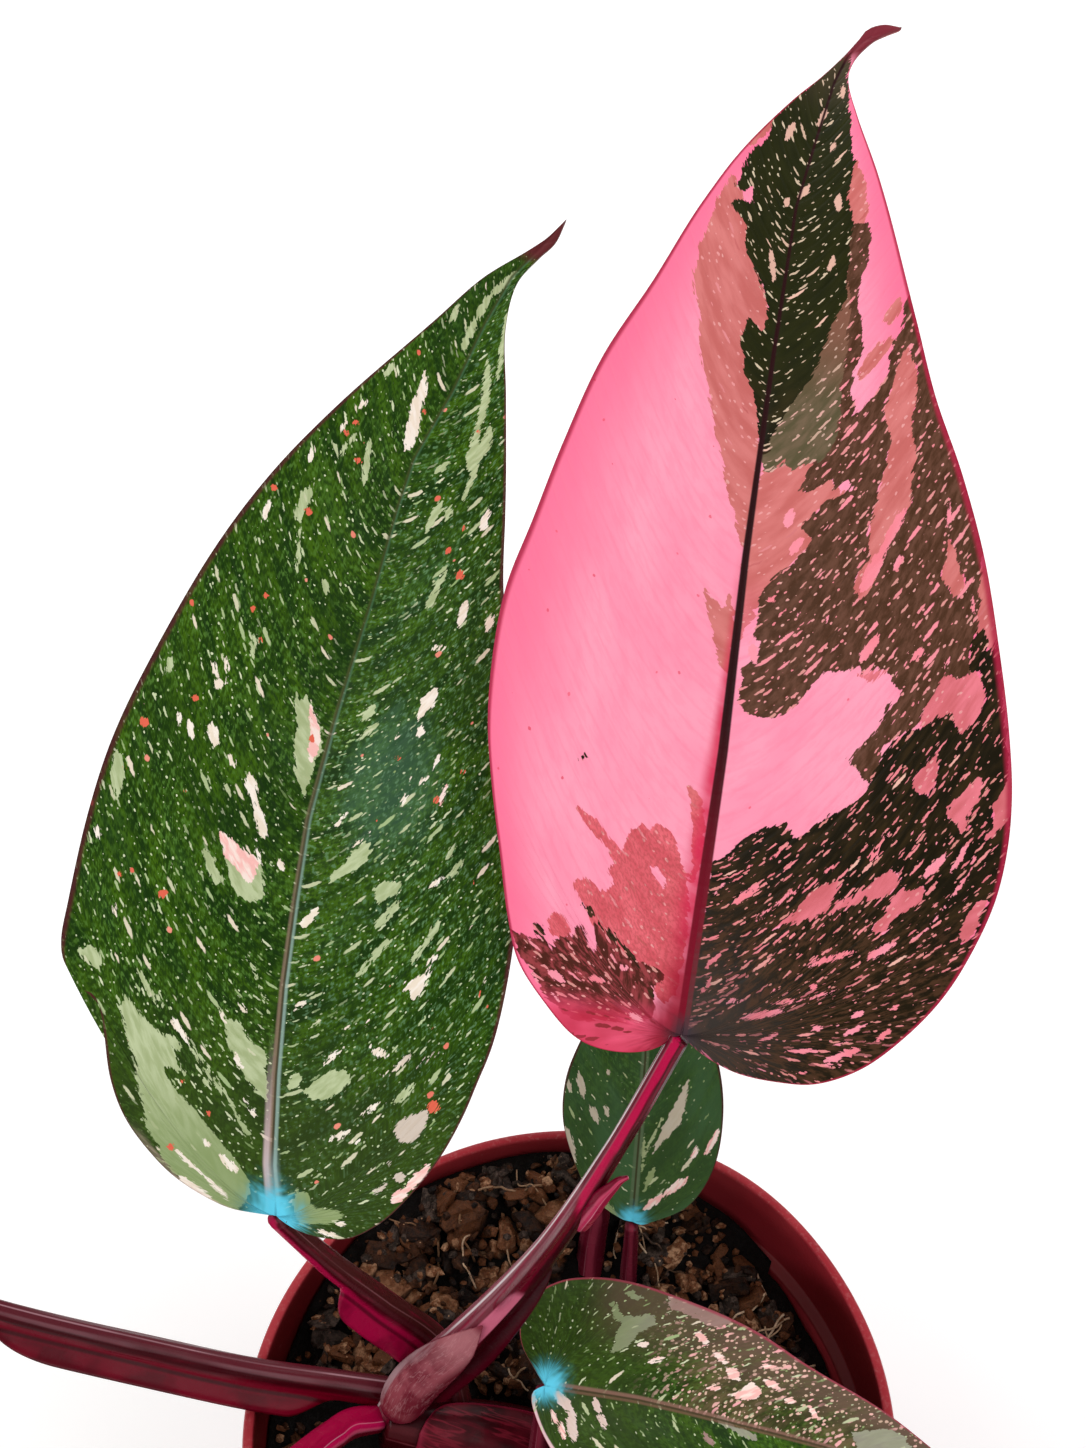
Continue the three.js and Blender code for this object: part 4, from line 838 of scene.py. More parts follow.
def build_leaf(name, leaf, marks, ribs, rows):
    """A blade with two faces, and its flat place, vein lines, margin and marks as values."""
    flat, faces, ring = flat_leaf(leaf, int(FAN_SHARE * ribs), ribs, rows)
    x, y, edge = [flat[key] for key in ("x", "y", "edge")]
    rib = np.abs(y - rib_at(leaf, x))
    run = np.clip(x / leaf["length"], 0, 1)
    groove = GROOVE_DEPTH * (1 - 0.7 * run) * bell(rib, 1.1 - 0.6 * run)
    keel = (KEEL_DEPTH * (1 - run) + KEEL_TIP_DEPTH) * bell(rib, 1.5 - 0.9 * run)
    veins = np.cos(2 * np.pi * flat["u"] / VEIN_GAP) * np.clip(rib / QUILT_START, 0, 1)
    quilt = QUILT * veins * (1 - edge**3)
    thick = BLADE_HALF + (EDGE_HALF - BLADE_HALF) * edge**4
    upper = blade_point(leaf, x, y, edge, thick - groove + quilt)
    lower = blade_point(leaf, x, y, edge, quilt - thick - keel)
    count = len(x)
    under = [[c + count for c in face[::-1]] for face in faces]
    flat["rib"] = rib
    flat["run"] = x / leaf["length"]
    for key, mark in marks.items():
        flat[key] = mark_depth(x, y, *mark)
    values = {key: np.concatenate([numbers, numbers]) for key, numbers in flat.items()}
    values["top"] = np.repeat([1, 0], count)
    return mesh_object(name, np.vstack([upper, lower]), faces + under + rim_faces(ring, count), values)


def sections(stalk, rings):
    """Points along a stalk, its side and front directions, its radius, and the share of its length."""
    route = np.array(stalk["route"], float)
    middle = catmull_rom(route, rings)
    way = unit(np.gradient(middle, axis=0))
    side = unit(np.cross(way, FACING))
    front = np.cross(side, way)
    run = path_lengths(route)
    share = np.linspace(0, 1, rings)
    return middle, side, front, np.interp(share, run / run[-1], stalk["radius"]), share


def tube_points(middle, side, front, turn, reach):
    """Points round a middle line, at each turn of each ring."""
    ring = np.cos(turn)[..., None] * side[:, None] + np.sin(turn)[..., None] * front[:, None]
    return (middle[:, None] + reach[..., None] * ring).reshape(-1, 3)


def tube_faces(rings, sides, first=0):
    """The quads between the rings of a tube."""
    faces = []
    for i in range(rings - 1):
        for j in range(sides):
            a = first + i * sides + j
            b = first + i * sides + (j + 1) % sides
            faces.append([a, b, b + sides, a + sides])
    return faces


def closed_tube_faces(rings, sides):
    """The faces of a tube whose ends are closed by fans to two more points after its rings."""
    count = rings * sides
    last = count - sides
    faces = tube_faces(rings, sides)
    faces += [[count, (j + 1) % sides, j] for j in range(sides)]
    faces += [[count + 1, last + j, last + (j + 1) % sides] for j in range(sides)]
    return faces


def build_stalk(name, stalk, rings, sides, wings=()):
    """A stalk with its wings as ridges, closed at both ends."""
    middle, side, front, radius, share = sections(stalk, rings)
    turn = np.linspace(-np.pi, np.pi, sides, endpoint=False)
    out = np.zeros((rings, sides))
    for wing in wings:
        lean = np.arctan2(wing["front"], wing["side"])
        away = np.abs((turn - lean + np.pi) % (2 * np.pi) - np.pi)
        run = (share - wing["from"]) / (wing["to"] - wing["from"])
        end = np.clip((run - 1 + wing["taper"]) / wing["taper"], 0, 1)
        tall = wing["reach"] * smooth_step(run, 0, WING_START) * np.sqrt(1 - end**2) * (run < 1)
        out = np.maximum(out, tall[:, None] * bell(away, WING_LEAN, 1.5))
    wave = np.sin(5 * turn + 9 * share[:, None]) + 0.6 * np.sin(11 * turn - 14 * share[:, None])
    points = tube_points(middle, side, front, turn, radius[:, None] + out + STALK_RELIEF * wave)
    length = path_lengths(middle)[-1]

    def spread(values, start=0, end=0):
        """One value for each point of the rings, and one for each end point."""
        return np.concatenate([np.broadcast_to(values, (rings, sides)).ravel(), [start, end]])

    values = {
        "along": spread(share[:, None] * length, 0, length),
        "share": spread(share[:, None], 0, 1),
        "side": spread(np.cos(turn)),
        "around": spread(turn * radius[:, None]),
        "out": spread(out),
    }
    points = np.vstack([points, middle[:1], middle[-1:]])
    return mesh_object(name, points, closed_tube_faces(rings, sides), values)


def build_shell(name, stalk, shell, rings, sides):
    """A thin curved sheath round part of a stalk, open along one side, with rounded edges."""
    at = np.linspace(shell["from"], shell["to"], rings)
    pick = np.clip(np.round(at * (SHELL_ROWS - 1)).astype(int), 0, SHELL_ROWS - 1)
    middle, side, front, radius = [part[pick] for part in sections(stalk, SHELL_ROWS)[:4]]
    run = np.linspace(0, 1, rings)[:, None]
    part = np.linspace(-1, 1, sides)
    rounded = np.sqrt(np.maximum(0.05, 1 - np.abs(2 * run - 1) ** 5))
    spread = shell["spread"] * (1 - shell["narrow"] * run**2) * rounded
    turn = shell["turn"] + shell["lean"] * run + spread * part
    rim = np.maximum(np.abs(part), np.abs(2 * run - 1))
    thick = shell["thick"] * np.sqrt(np.clip(1 - rim**8, 0.06, 1))
    flutes = FLUTE_DEPTH * np.cos(turn * FLUTES) * (1 - rim**6)
    inner = (radius + shell["clear"])[:, None] + (shell["thick"] - thick) / 2
    layers = [tube_points(middle, side, front, turn, reach) for reach in (inner + thick + flutes, inner)]
    grid = np.arange(rings * sides).reshape(rings, sides)
    corners = (grid[:-1, :-1], grid[:-1, 1:], grid[1:, 1:], grid[1:, :-1])
    faces = []
    for quad in np.stack([corner.ravel() for corner in corners], axis=1).tolist():
        faces += [quad, [grid.size + corner for corner in quad[::-1]]]
    loop = np.concatenate([grid[0], grid[1:, -1], grid[-1, -2::-1], grid[-2:0:-1, 0]]).tolist()
    values = {
        "along": SHEATH_LENGTH * run, "share": run, "side": np.cos(turn), "around": turn * radius[:, None],
        "out": rim,
    }
    for key, numbers in values.items():
        values[key] = np.tile(np.broadcast_to(numbers, grid.shape).ravel(), 2)
    return mesh_object(name, np.vstack(layers), faces + rim_faces(loop, grid.size), values)


def pot_stretch(points):
    """Push the pot's wall out where the collar bulges at the back right."""
    turn = np.arctan2(points[:, 1], points[:, 0])
    bulge = BULGE * bell(turn - BULGE_TURN, BULGE_SPREAD) * (points[:, 2] / POT_HEIGHT) ** 2
    return points * np.stack([1 + bulge / RIM_RADIUS, 1 + bulge / RIM_RADIUS, 1 + 0 * bulge], axis=1)


def rounded_profile(corners, radius, steps):
    """A profile whose inner corners are rounded over."""
    corners = np.array(corners, float)
    points = [corners[0]]
    for before, here, after in zip(corners, corners[1:], corners[2:]):
        ways = (before - here, after - here)
        start, end = [here + unit(way) * min(radius, np.linalg.norm(way) / 2) for way in ways]
        for t in np.linspace(0, 1, steps):
            points.append((1 - t) ** 2 * start + 2 * t * (1 - t) * here + t * t * end)
    points.append(corners[-1])
    return np.array(points)


def lathe(profile, sides):
    """Points and faces of a profile (radius, height) turned about the pot's axis, where it ends."""
    turn = np.linspace(0, 2 * np.pi, sides, endpoint=False)
    inner = profile[1:-1]
    rings = np.stack([
        inner[:, :1] * np.cos(turn), inner[:, :1] * np.sin(turn), np.repeat(inner[:, 1:], sides, axis=1),
    ], axis=2).reshape(-1, 3)
    points = np.vstack([rings, [[0, 0, profile[0, 1]], [0, 0, profile[-1, 1]]]])
    return points, closed_tube_faces(len(inner), sides)


def drain_cutter(turn):
    """A plug where one drain hole goes through the floor."""
    low, high = -2, FLOOR + 2
    profile = np.array([(0, low), (DRAIN_RADIUS, low), (DRAIN_RADIUS, high), (0, high)], float)
    hole, faces = lathe(profile, 32)
    place = [DRAIN_CIRCLE * np.cos(turn), DRAIN_CIRCLE * np.sin(turn), 0]
    return mesh_object("drain_cutter", hole + place, faces)


def build_pot():
    """The pot: a tapered body, a collar with a lip, a ledge inside it, and drain holes in the floor."""
    inner_foot = FOOT_RADIUS - WALL
    corners = [
        (0, 0), (FOOT_RADIUS - FOOT_BEVEL, 0), (FOOT_RADIUS, FOOT_BEVEL),
        (LEDGE_INNER + WALL - 0.3, LEDGE - 3.5), (RIM_RADIUS - 1.4, LEDGE - 2.6),
        (RIM_RADIUS - 1, LEDGE - 1), (RIM_RADIUS, POT_HEIGHT - 1),
        (RIM_RADIUS - 0.5, POT_HEIGHT), (LIP_INNER + 0.4, POT_HEIGHT), (LIP_INNER, POT_HEIGHT - 0.5),
        (COLLAR_INNER, LEDGE + 0.6), (LEDGE_INNER, LEDGE), (inner_foot, FLOOR + FLOOR_BEVEL),
        (inner_foot - FLOOR_BEVEL, FLOOR), (0, FLOOR),
    ]
    points, faces = lathe(rounded_profile(corners, 0.5, 4), POT_SIDES)
    pot = mesh_object("nursery_pot", pot_stretch(points), faces)
    cutters = [drain_cutter(2 * np.pi * i / DRAIN_COUNT) for i in range(DRAIN_COUNT)]
    for cutter in cutters:
        cut = pot.modifiers.new("drain", "BOOLEAN")
        cut.object = cutter
        cut.solver = "EXACT"
    bpy.context.view_layer.update()
    ready = pot.evaluated_get(bpy.context.evaluated_depsgraph_get())
    mesh = bpy.data.meshes.new_from_object(ready)
    pot.modifiers.clear()
    pot.data = mesh
    for cutter in cutters:
        bpy.data.objects.remove(cutter)
    mesh.set_sharp_from_angle(angle=np.radians(40))
    return pot


def soil_height(x, y):
    """The soil's surface: low mounds on a slope down to the right, and a bank at the back of the rim."""
    bank = smooth_step(0.985 * y - 0.17 * x, 28, 60)
    mounds = 0.6 * np.sin(0.13 * x + 1) * np.cos(0.11 * y) + 0.5 * np.sin(0.31 * y - 0.2 * x)
    return SOIL_LEVEL + 0.1 * y - 0.07 * x + SOIL_BANK * bank + mounds


def soil_reach(x, y):
    """How far out the soil goes on that side: to the collar, or to the wall where it is below the ledge."""
    away = max(np.hypot(x, y), 1)
    edge = soil_height(60 * x / away, 60 * y / away)
    return COLLAR_REACH if edge > LEDGE + 0.8 else WALL_REACH


def inside_pot(points):
    """Points of the soil drawn in where they would pass the wall below the ledge."""
    deep = (LEDGE - points[:, 2]) / (LEDGE - FLOOR - FLOOR_BEVEL)
    wall = LEDGE_INNER - 0.5 - deep * (LEDGE_INNER - FOOT_RADIUS + WALL)
    away = np.hypot(points[:, 0], points[:, 1])
    room = np.where(points[:, 2] < LEDGE + 0.3, wall, away)
    shrink = np.minimum(1, room / np.maximum(away, 0.1))
    return points * np.stack([shrink, shrink, np.ones(len(points))], axis=1)


def build_soil():
    """The potting mix: its lumpy surface, and its plain sides and base inside the pot."""
    collar = COLLAR_INNER - 0.45
    foot = FOOT_RADIUS - WALL - 0.6
    turn = np.linspace(0, 2 * np.pi, SOIL_SIDES, endpoint=False)
    circle = np.stack([np.cos(turn), np.sin(turn)])
    rows = []
    for radius in np.linspace(0.4, collar, SOIL_RINGS):
        x, y = radius * circle
        lumps = 0.5 * np.sin(0.9 * x + 1.3 * np.sin(0.7 * y)) * np.cos(1.1 * y + np.sin(0.8 * x))
        rows.append([x, y, soil_height(x, y) + lumps * min(1, (collar - radius) / 3)])
    for radius, height in (
        (collar, LEDGE + 1.2), (collar - LEDGE_WIDTH, LEDGE + 0.9), (collar - LEDGE_WIDTH, LEDGE),
        (foot, FLOOR + 2.2), (foot - 1.6, FLOOR + 0.3),
    ):
        x, y = radius * circle
        rows.append([x, y, np.minimum(height, soil_height(x, y) - 0.5)])
    points = inside_pot(np.concatenate(rows, axis=1).T)
    faces = [face[::-1] for face in tube_faces(len(rows), SOIL_SIDES)]
    faces.append(list(range(SOIL_SIDES)))
    faces.append(list(range(len(points)))[: -SOIL_SIDES - 1 : -1])
    even = np.ones(len(points))
    return mesh_object("potting_mix", points, faces, {"tone": 0.3 * even, "lift": even})


def lump_shape(level):
    """The corners and faces of a round lump of so many subdivisions."""
    made = bmesh.new()
    bmesh.ops.create_icosphere(made, subdivisions=level, radius=1)
    points = np.array([corner.co for corner in made.verts])
    faces = [[corner.index for corner in face.verts] for face in made.faces]
    made.free()
    return points, faces


def turned(points, yaw, tilt, lean):
    """Points turned about x, then y, then z."""
    cx, sx = np.cos(tilt), np.sin(tilt)
    cy, sy = np.cos(lean), np.sin(lean)
    cz, sz = np.cos(yaw), np.sin(yaw)
    about_x = np.array([[1, 0, 0], [0, cx, -sx], [0, sx, cx]])
    about_y = np.array([[cy, 0, sy], [0, 1, 0], [-sy, 0, cy]])
    about_z = np.array([[cz, -sz, 0], [sz, cz, 0], [0, 0, 1]])
    return points @ (about_z @ about_y @ about_x).T


class Ground:
    """The height of the soil and of what already lies on it, one value to a square millimetre."""

    def __init__(self):
        line = np.arange(-GROUND_REACH, GROUND_REACH + 1)
        x, y = np.meshgrid(line, line, indexing="ij")
        self.z = soil_height(x.astype(float), y.astype(float))

    def square(self, x, y):
        return int(round(x)) + GROUND_REACH, int(round(y)) + GROUND_REACH

    def height(self, x, y):
        return self.z[self.square(x, y)]

    def cover(self, points):
        """Raise the ground to the top of a piece that was laid on it."""
        for x, y, z in points:
            square = self.square(x, y)
            self.z[square] = max(self.z[square], z - 0.3)


def stalk_feet():
    """Where the stalks and the stem pass near the soil, with the room that they need."""
    feet = []
    for stalk in (STALK_A, STALK_B, STALK_C, STALK_D, STALK_F, STEM, SPIKE, SIDE_SHOOT):
        middle, _, _, radius, _ = sections(stalk, 40)
        feet += [(x, y, room) for (x, y, z), room in zip(middle, radius) if z < POT_HEIGHT + 2]
    return np.array(feet)


def clearance(feet, x, y):
    """How far a place on the soil is from the nearest stalk."""
    return (np.hypot(feet[:, 0] - x, feet[:, 1] - y) - feet[:, 2]).min()


def free_place(draw, reach, feet, room):
    """A random place on the soil, clear of the stalks and the wall."""
    while True:
        x, y = draw.uniform(-reach, reach, 2)
        short = COLLAR_REACH - soil_reach(x, y)
        if np.hypot(x, y) < reach - short and clearance(feet, x, y) > room:
            return x, y


def lump_mesh(name, ball_faces, lumps, tones, lifts):
    """Many lumps as one mesh, each with a tone of its own."""
    corners = len(lumps[0])
    faces = [[c + k * corners for c in face] for k in range(len(lumps)) for face in ball_faces]
    values = {"tone": np.repeat(tones, corners), "lift": np.concatenate(lifts)}
    return mesh_object(name, np.vstack(lumps), faces, values, smooth=False)


def build_bark(ground, feet):
    """Chips and pebbles of bark that lie on the soil and on each other."""
    draw = np.random.default_rng(7)
    ball, ball_faces = lump_shape(2)
    near = ((0, 0), (1.5, 0), (-1.5, 0), (0, 1.5), (0, -1.5))
    lumps, tones, lifts = [], [], []
    for _ in range(BARK_COUNT):
        length = BARK_SMALLEST + BARK_RANGE * draw.uniform() ** 2.2
        size = length * np.array([1, draw.uniform(0.35, 0.75), draw.uniform(0.2, 0.45)])
        boxy = np.sign(ball) * np.abs(ball) ** draw.uniform(0.4, 0.9)
        shape = boxy * (1 + draw.normal(0, 0.12, (len(ball), 1))) * size
        shape[:, 2] += draw.normal(0, 0.25) * shape[:, 0] ** 2 / length
        shape = turned(shape, draw.uniform(0, 6.3), draw.normal(0, 0.45), draw.normal(0, 0.45))
        x, y = free_place(draw, COLLAR_REACH - 1.1 * length, feet, 0.9 * length)
        under = np.mean([ground.height(x + dx, y + dy) for dx, dy in near])
        lumps.append(shape + [x, y, under + 0.35 * size[2]])
        ground.cover(lumps[-1])
        tones.append(draw.uniform())
        # Each point's height in its lump, which the soil material turns into painted shade at the lump's foot
        lifts.append(shape[:, 2] / shape[:, 2].max())
    return lump_mesh("bark_chips", ball_faces, lumps, tones, lifts)


def build_crumbs(ground, feet):
    """Small crumbs between the chips."""
    draw = np.random.default_rng(8)
    ball, ball_faces = lump_shape(1)
    lumps, tones = [], []
    for _ in range(CRUMB_COUNT):
        length = draw.uniform(0.5, 1.5)
        shape = ball * (1 + draw.normal(0, 0.18, (len(ball), 1))) * length * draw.uniform(0.6, 1.1, 3)
        x, y = free_place(draw, CRUMB_REACH - length, feet, 0.6)
        shape = turned(shape, draw.uniform(0, 6.3), draw.uniform(0, 3), 0)
        lumps.append(shape + [x, y, ground.height(x, y) + 0.25 * length])
        tones.append(draw.uniform())
    return lump_mesh("soil_crumbs", ball_faces, lumps, tones, np.ones((CRUMB_COUNT, len(ball))))


def fibre_route(draw, ground, feet, x, y):
    """A line that wanders over the bark from a place, until it nears the wall or a stalk."""
    heading = draw.uniform(0, 6.3)
    line = []
    for _ in range(int(draw.uniform(6, 16))):
        line.append((x, y, ground.height(x, y) + 0.35))
        heading += draw.normal(0, 0.35)
        x = x + FIBRE_STEP * np.cos(heading)
        y = y + FIBRE_STEP * np.sin(heading)
        if np.hypot(x, y) > soil_reach(x, y) - 1 or clearance(feet, x, y) < 0.8:
            break
    return np.array(line)


def build_fibres(ground, feet):
    """Thin pale roots and fibres that wander over the bark, most of them at the right."""
    draw = np.random.default_rng(9)
    turn = np.linspace(0, 2 * np.pi, FIBRE_SIDES, endpoint=False)
    blocks, faces, tones = [], [], []
    for i in range(FIBRE_COUNT):
        x, y = free_place(draw, 55, feet, 1.5)
        if x < 0 and draw.uniform() < 0.6:
            x, y = free_place(draw, 55, feet, 1.5)
        if i >= SPREAD_FIBRES:
            x = RIGHT_HEAP[0] + 6.5 * draw.normal()
            y = RIGHT_HEAP[1] + 8.5 * draw.normal()
        if np.hypot(x, y) > WALL_REACH - 1:
            continue
        line = fibre_route(draw, ground, feet, x, y)
        if len(line) < 4:
            continue
        line[1:-1, 2] = np.maximum(line[1:-1, 2], (line[:-2, 2] + line[2:, 2]) / 2 - 0.4)
        stalk = {"route": line, "radius": np.full(len(line), draw.uniform(0.14, 0.3))}
        rings = 3 * len(line)
        middle, side, front, radius, _ = sections(stalk, rings)
        first = sum(len(block) for block in blocks)
        blocks.append(tube_points(middle, side, front, turn, radius[:, None]))
        faces += tube_faces(rings, FIBRE_SIDES, first)
        ends = [list(range(at, at + FIBRE_SIDES)) for at in (first, first + (rings - 1) * FIBRE_SIDES)]
        faces += [ends[0][::-1], ends[1]]
        tones += [draw.uniform()] * len(blocks[-1])
    values = {"tone": tones, "lift": np.ones(len(tones))}
    return mesh_object("soil_fibres", np.vstack(blocks), faces, values)


class Net:
    """A material made of nodes, with short ways to add them."""

    def __init__(self, name):
        self.material = bpy.data.materials.new(name)
        self.material.use_nodes = True
        self.tree = self.material.node_tree
        self.shader = self.tree.nodes["Principled BSDF"]

    def give(self, socket, value):
        """Link a socket to a node's output, or set it to a number or a colour."""
        if isinstance(value, bpy.types.NodeSocket):
            self.tree.links.new(value, socket)
        elif isinstance(value, tuple):
            socket.default_value = value if socket.type == "VECTOR" else (*value, 1)
        else:
            socket.default_value = value

    def node(self, kind, *values, **settings):
        """A new node with its settings, and with these values at its first sockets."""
        made = self.tree.nodes.new("ShaderNode" + kind)
        for title, setting in settings.items():
            setattr(made, title, setting)
        for socket, value in zip(made.inputs, values):
            self.give(socket, value)
        return made

    def fill(self, node, **values):
        """Give a node's sockets their values by name."""
        for title, value in values.items():
            self.give(node.inputs[title.replace("_", " ")], value)
        return node

    def value(self, name):
        """A named value of the mesh."""
        return self.node("Attribute", attribute_name=name).outputs["Fac"]

    def math(self, kind, *values):
        return self.node("Math", *values, operation=kind).outputs[0]

    def add(self, first, second):
        return self.math("ADD", first, second)

    def less(self, first, second):
        return self.math("SUBTRACT", first, second)

    def times(self, first, second):
        return self.math("MULTIPLY", first, second)

    def away(self, value, at):
        """How far a value is from another."""
        return self.math("ABSOLUTE", self.less(value, at))

    def hypotenuse(self, first, second):
        return self.math("SQRT", self.add(self.times(first, first), self.times(second, second)))

    def swing(self, value, amount):
        """A value between 0 and 1, centred on 0 and stretched to the amount."""
        return self.math("MULTIPLY_ADD", value, amount, -amount / 2)

    def rise(self, value, low, high, bottom=0.0, top=1.0):
        """Bottom below low, top above high, and smooth between them."""
        node = self.node("MapRange", value, low, high, bottom, top, interpolation_type="SMOOTHSTEP")
        return node.outputs["Result"]

    def mix(self, share, first, second):
        """The first colour, or the second where the share is 1."""
        node = self.node("Mix", share, data_type="RGBA")
        self.give(node.inputs[6], first)
        self.give(node.inputs[7], second)
        return node.outputs[2]

    def vector(self, x, y, z=0.0):
        return self.node("CombineXYZ", x, y, z).outputs[0]

    def shift(self, kind, *values):
        """A vector's sum, difference or product with another."""
        node = self.node("VectorMath", *values, operation=kind)
        return node.outputs["Value" if kind == "DOT_PRODUCT" else "Vector"]

    def scaled(self, vector, factor):
        return self.fill(self.node("VectorMath", vector, operation="SCALE"), Scale=factor).outputs[0]

    def place(self):
        """The place on the object, in millimetres."""
        return self.scaled(self.node("TexCoord").outputs["Object"], 1 / MM)

    def noise_node(self, place, **values):
        return self.fill(self.node("TexNoise", place), **values)

    def noise(self, place, scale, detail=2.0, rough=0.5):
        return self.noise_node(place, Scale=scale, Detail=detail, Roughness=rough).outputs["Fac"]

    def cells(self, place, scale, **settings):
        """The cells round scattered points, and random numbers of the nearest one."""
        node = self.fill(self.node("TexVoronoi", place, **settings), Scale=scale)
        return node.outputs, self.node("SeparateColor", node.outputs["Color"]).outputs

    def flecks(self, place, scale, size, keep):
        """Scattered flecks of random size, in the given share of the cells."""
        cells, draws = self.cells(place, scale)
        reach = self.rise(draws[0], 1 - keep, 1, 0, size)
        return self.rise(self.less(reach, cells["Distance"]), -0.03, 0.05)

    def finish(self, color, roughness, height, depth, specular):
        """Set the shader, with relief of so many millimetres."""
        self.shader.inputs["Specular IOR Level"].default_value = specular
        bump = self.fill(self.node("Bump"), Distance=depth * MM, Height=height)
        self.fill(self.shader, Base_Color=color, Roughness=roughness, Normal=bump.outputs["Normal"])
        return self.material


class LeafNet(Net):
    """A blade's material, with its vein lines, margin and marks at hand."""

    def __init__(self, name):
        super().__init__(name)
        self.x, self.y, self.u, self.v = [self.value(title) for title in "xyuv"]
        names = ("half", "edge", "rib", "run")
        self.half, self.edge, self.rib, self.run = [self.value(title) for title in names]
        self.left = self.rise(self.half, 0.5, -0.5)
        self.right = self.rise(self.half, -0.5, 0.5)
        self.streaks = self.vein_place(0.55, 0.2)
        self.grain = self.vein_place(0.55, 0.4)
        flat = self.vector(self.x, self.y)
        warp = self.noise_node(flat, Scale=1.1).outputs["Color"]
        bent = self.shift("SUBTRACT", warp, self.vector(0.5, 0.5, 0.5))
        self.spot = self.shift("ADD", flat, self.scaled(bent, 0.5))
        way_x = self.value("way_x")
        way_y = self.value("way_y")
        self.way = self.vector(way_x, way_y)
        self.cross_way = self.vector(self.times(way_y, -1.0), way_x)
        broad = self.swing(self.noise(self.streaks, 0.8), 2.0)
        self.wobble = self.add(broad, self.swing(self.noise(self.streaks, 3.0), 1.5))
        self.chipped = self.swing(self.noise(self.grain, 2.2, 3, 0.6), 1.6)

    def vein_place(self, across, along):
        """A place for patterns that follow the side veins, with the two halves far apart."""
        far = self.times(self.half, 50.0)
        return self.vector(self.times(self.u, across), self.times(self.v, along), far)

    def mark(self, name, grow=0.0):
        """Where an area lies, with its border frayed along the veins."""
        depth = self.add(self.value(name), self.wobble)
        return self.rise(self.add(depth, grow), -0.07, 0.07)

    def small_mark(self, name, grow=0.05, tear=0.0):
        """Where a stroke or a spot lies, with a chipped border, torn along the veins."""
        depth = self.add(self.value(name), self.add(self.chipped, self.times(self.wobble, tear)))
        return self.rise(self.add(depth, grow), -0.06, 0.06)

    def sprinkle(self, color, gap, long, wide, keep, first, second, share=1.0):
        """A colour with flecks of two tones over it, along the side veins and about a gap apart."""
        cells, draws = self.cells(self.spot, 1 / gap, voronoi_dimensions="2D")
        offset = self.shift("SUBTRACT", self.spot, cells["Position"])
        along = self.times(self.shift("DOT_PRODUCT", offset, self.way), 1 / long)
        across = self.times(self.shift("DOT_PRODUCT", offset, self.cross_way), 1 / wide)
        size = self.rise(self.add(draws[0], keep), 1.0, self.add(keep, 1.0), -0.3, 1.0)
        mask = self.rise(self.less(size, self.hypotenuse(along, across)), -0.15, 0.15)
        return self.mix(self.times(mask, share), color, self.mix(draws[1], first, second))

    def vein_lines(self, gap, width):
        """Fine lines along the side veins."""
        return self.rise(self.math("PINGPONG", self.u, gap / 2), width, 0.0)

    def joint(self, near, far):
        """1 at the stalk's joint, and 0 beyond the far distance, with rays along the veins."""
        rays = self.swing(self.noise(self.streaks, 1.6, 2), 0.8 * far)
        return self.rise(self.add(self.hypotenuse(self.x, self.rib), rays), far, near)

    def close(self, color, vein_gap, under_share, under_tone, rough, rougher):
        """The finished blade, with its underside's tone, and its veins as fine lines in the surface."""
        color = self.mix(self.value("top"), self.mix(under_share, color, under_tone), color)
        lines = self.times(self.vein_lines(vein_gap, 0.8), -0.5)
        height = self.add(lines, self.times(self.noise(self.grain, 1.6, 3), 0.35))
        gloss = self.rise(self.noise(self.grain, 0.6, 3), 0.3, 0.7, rough, rougher)
        return self.finish(color, gloss, height, 0.1, LEAF_SPECULAR)


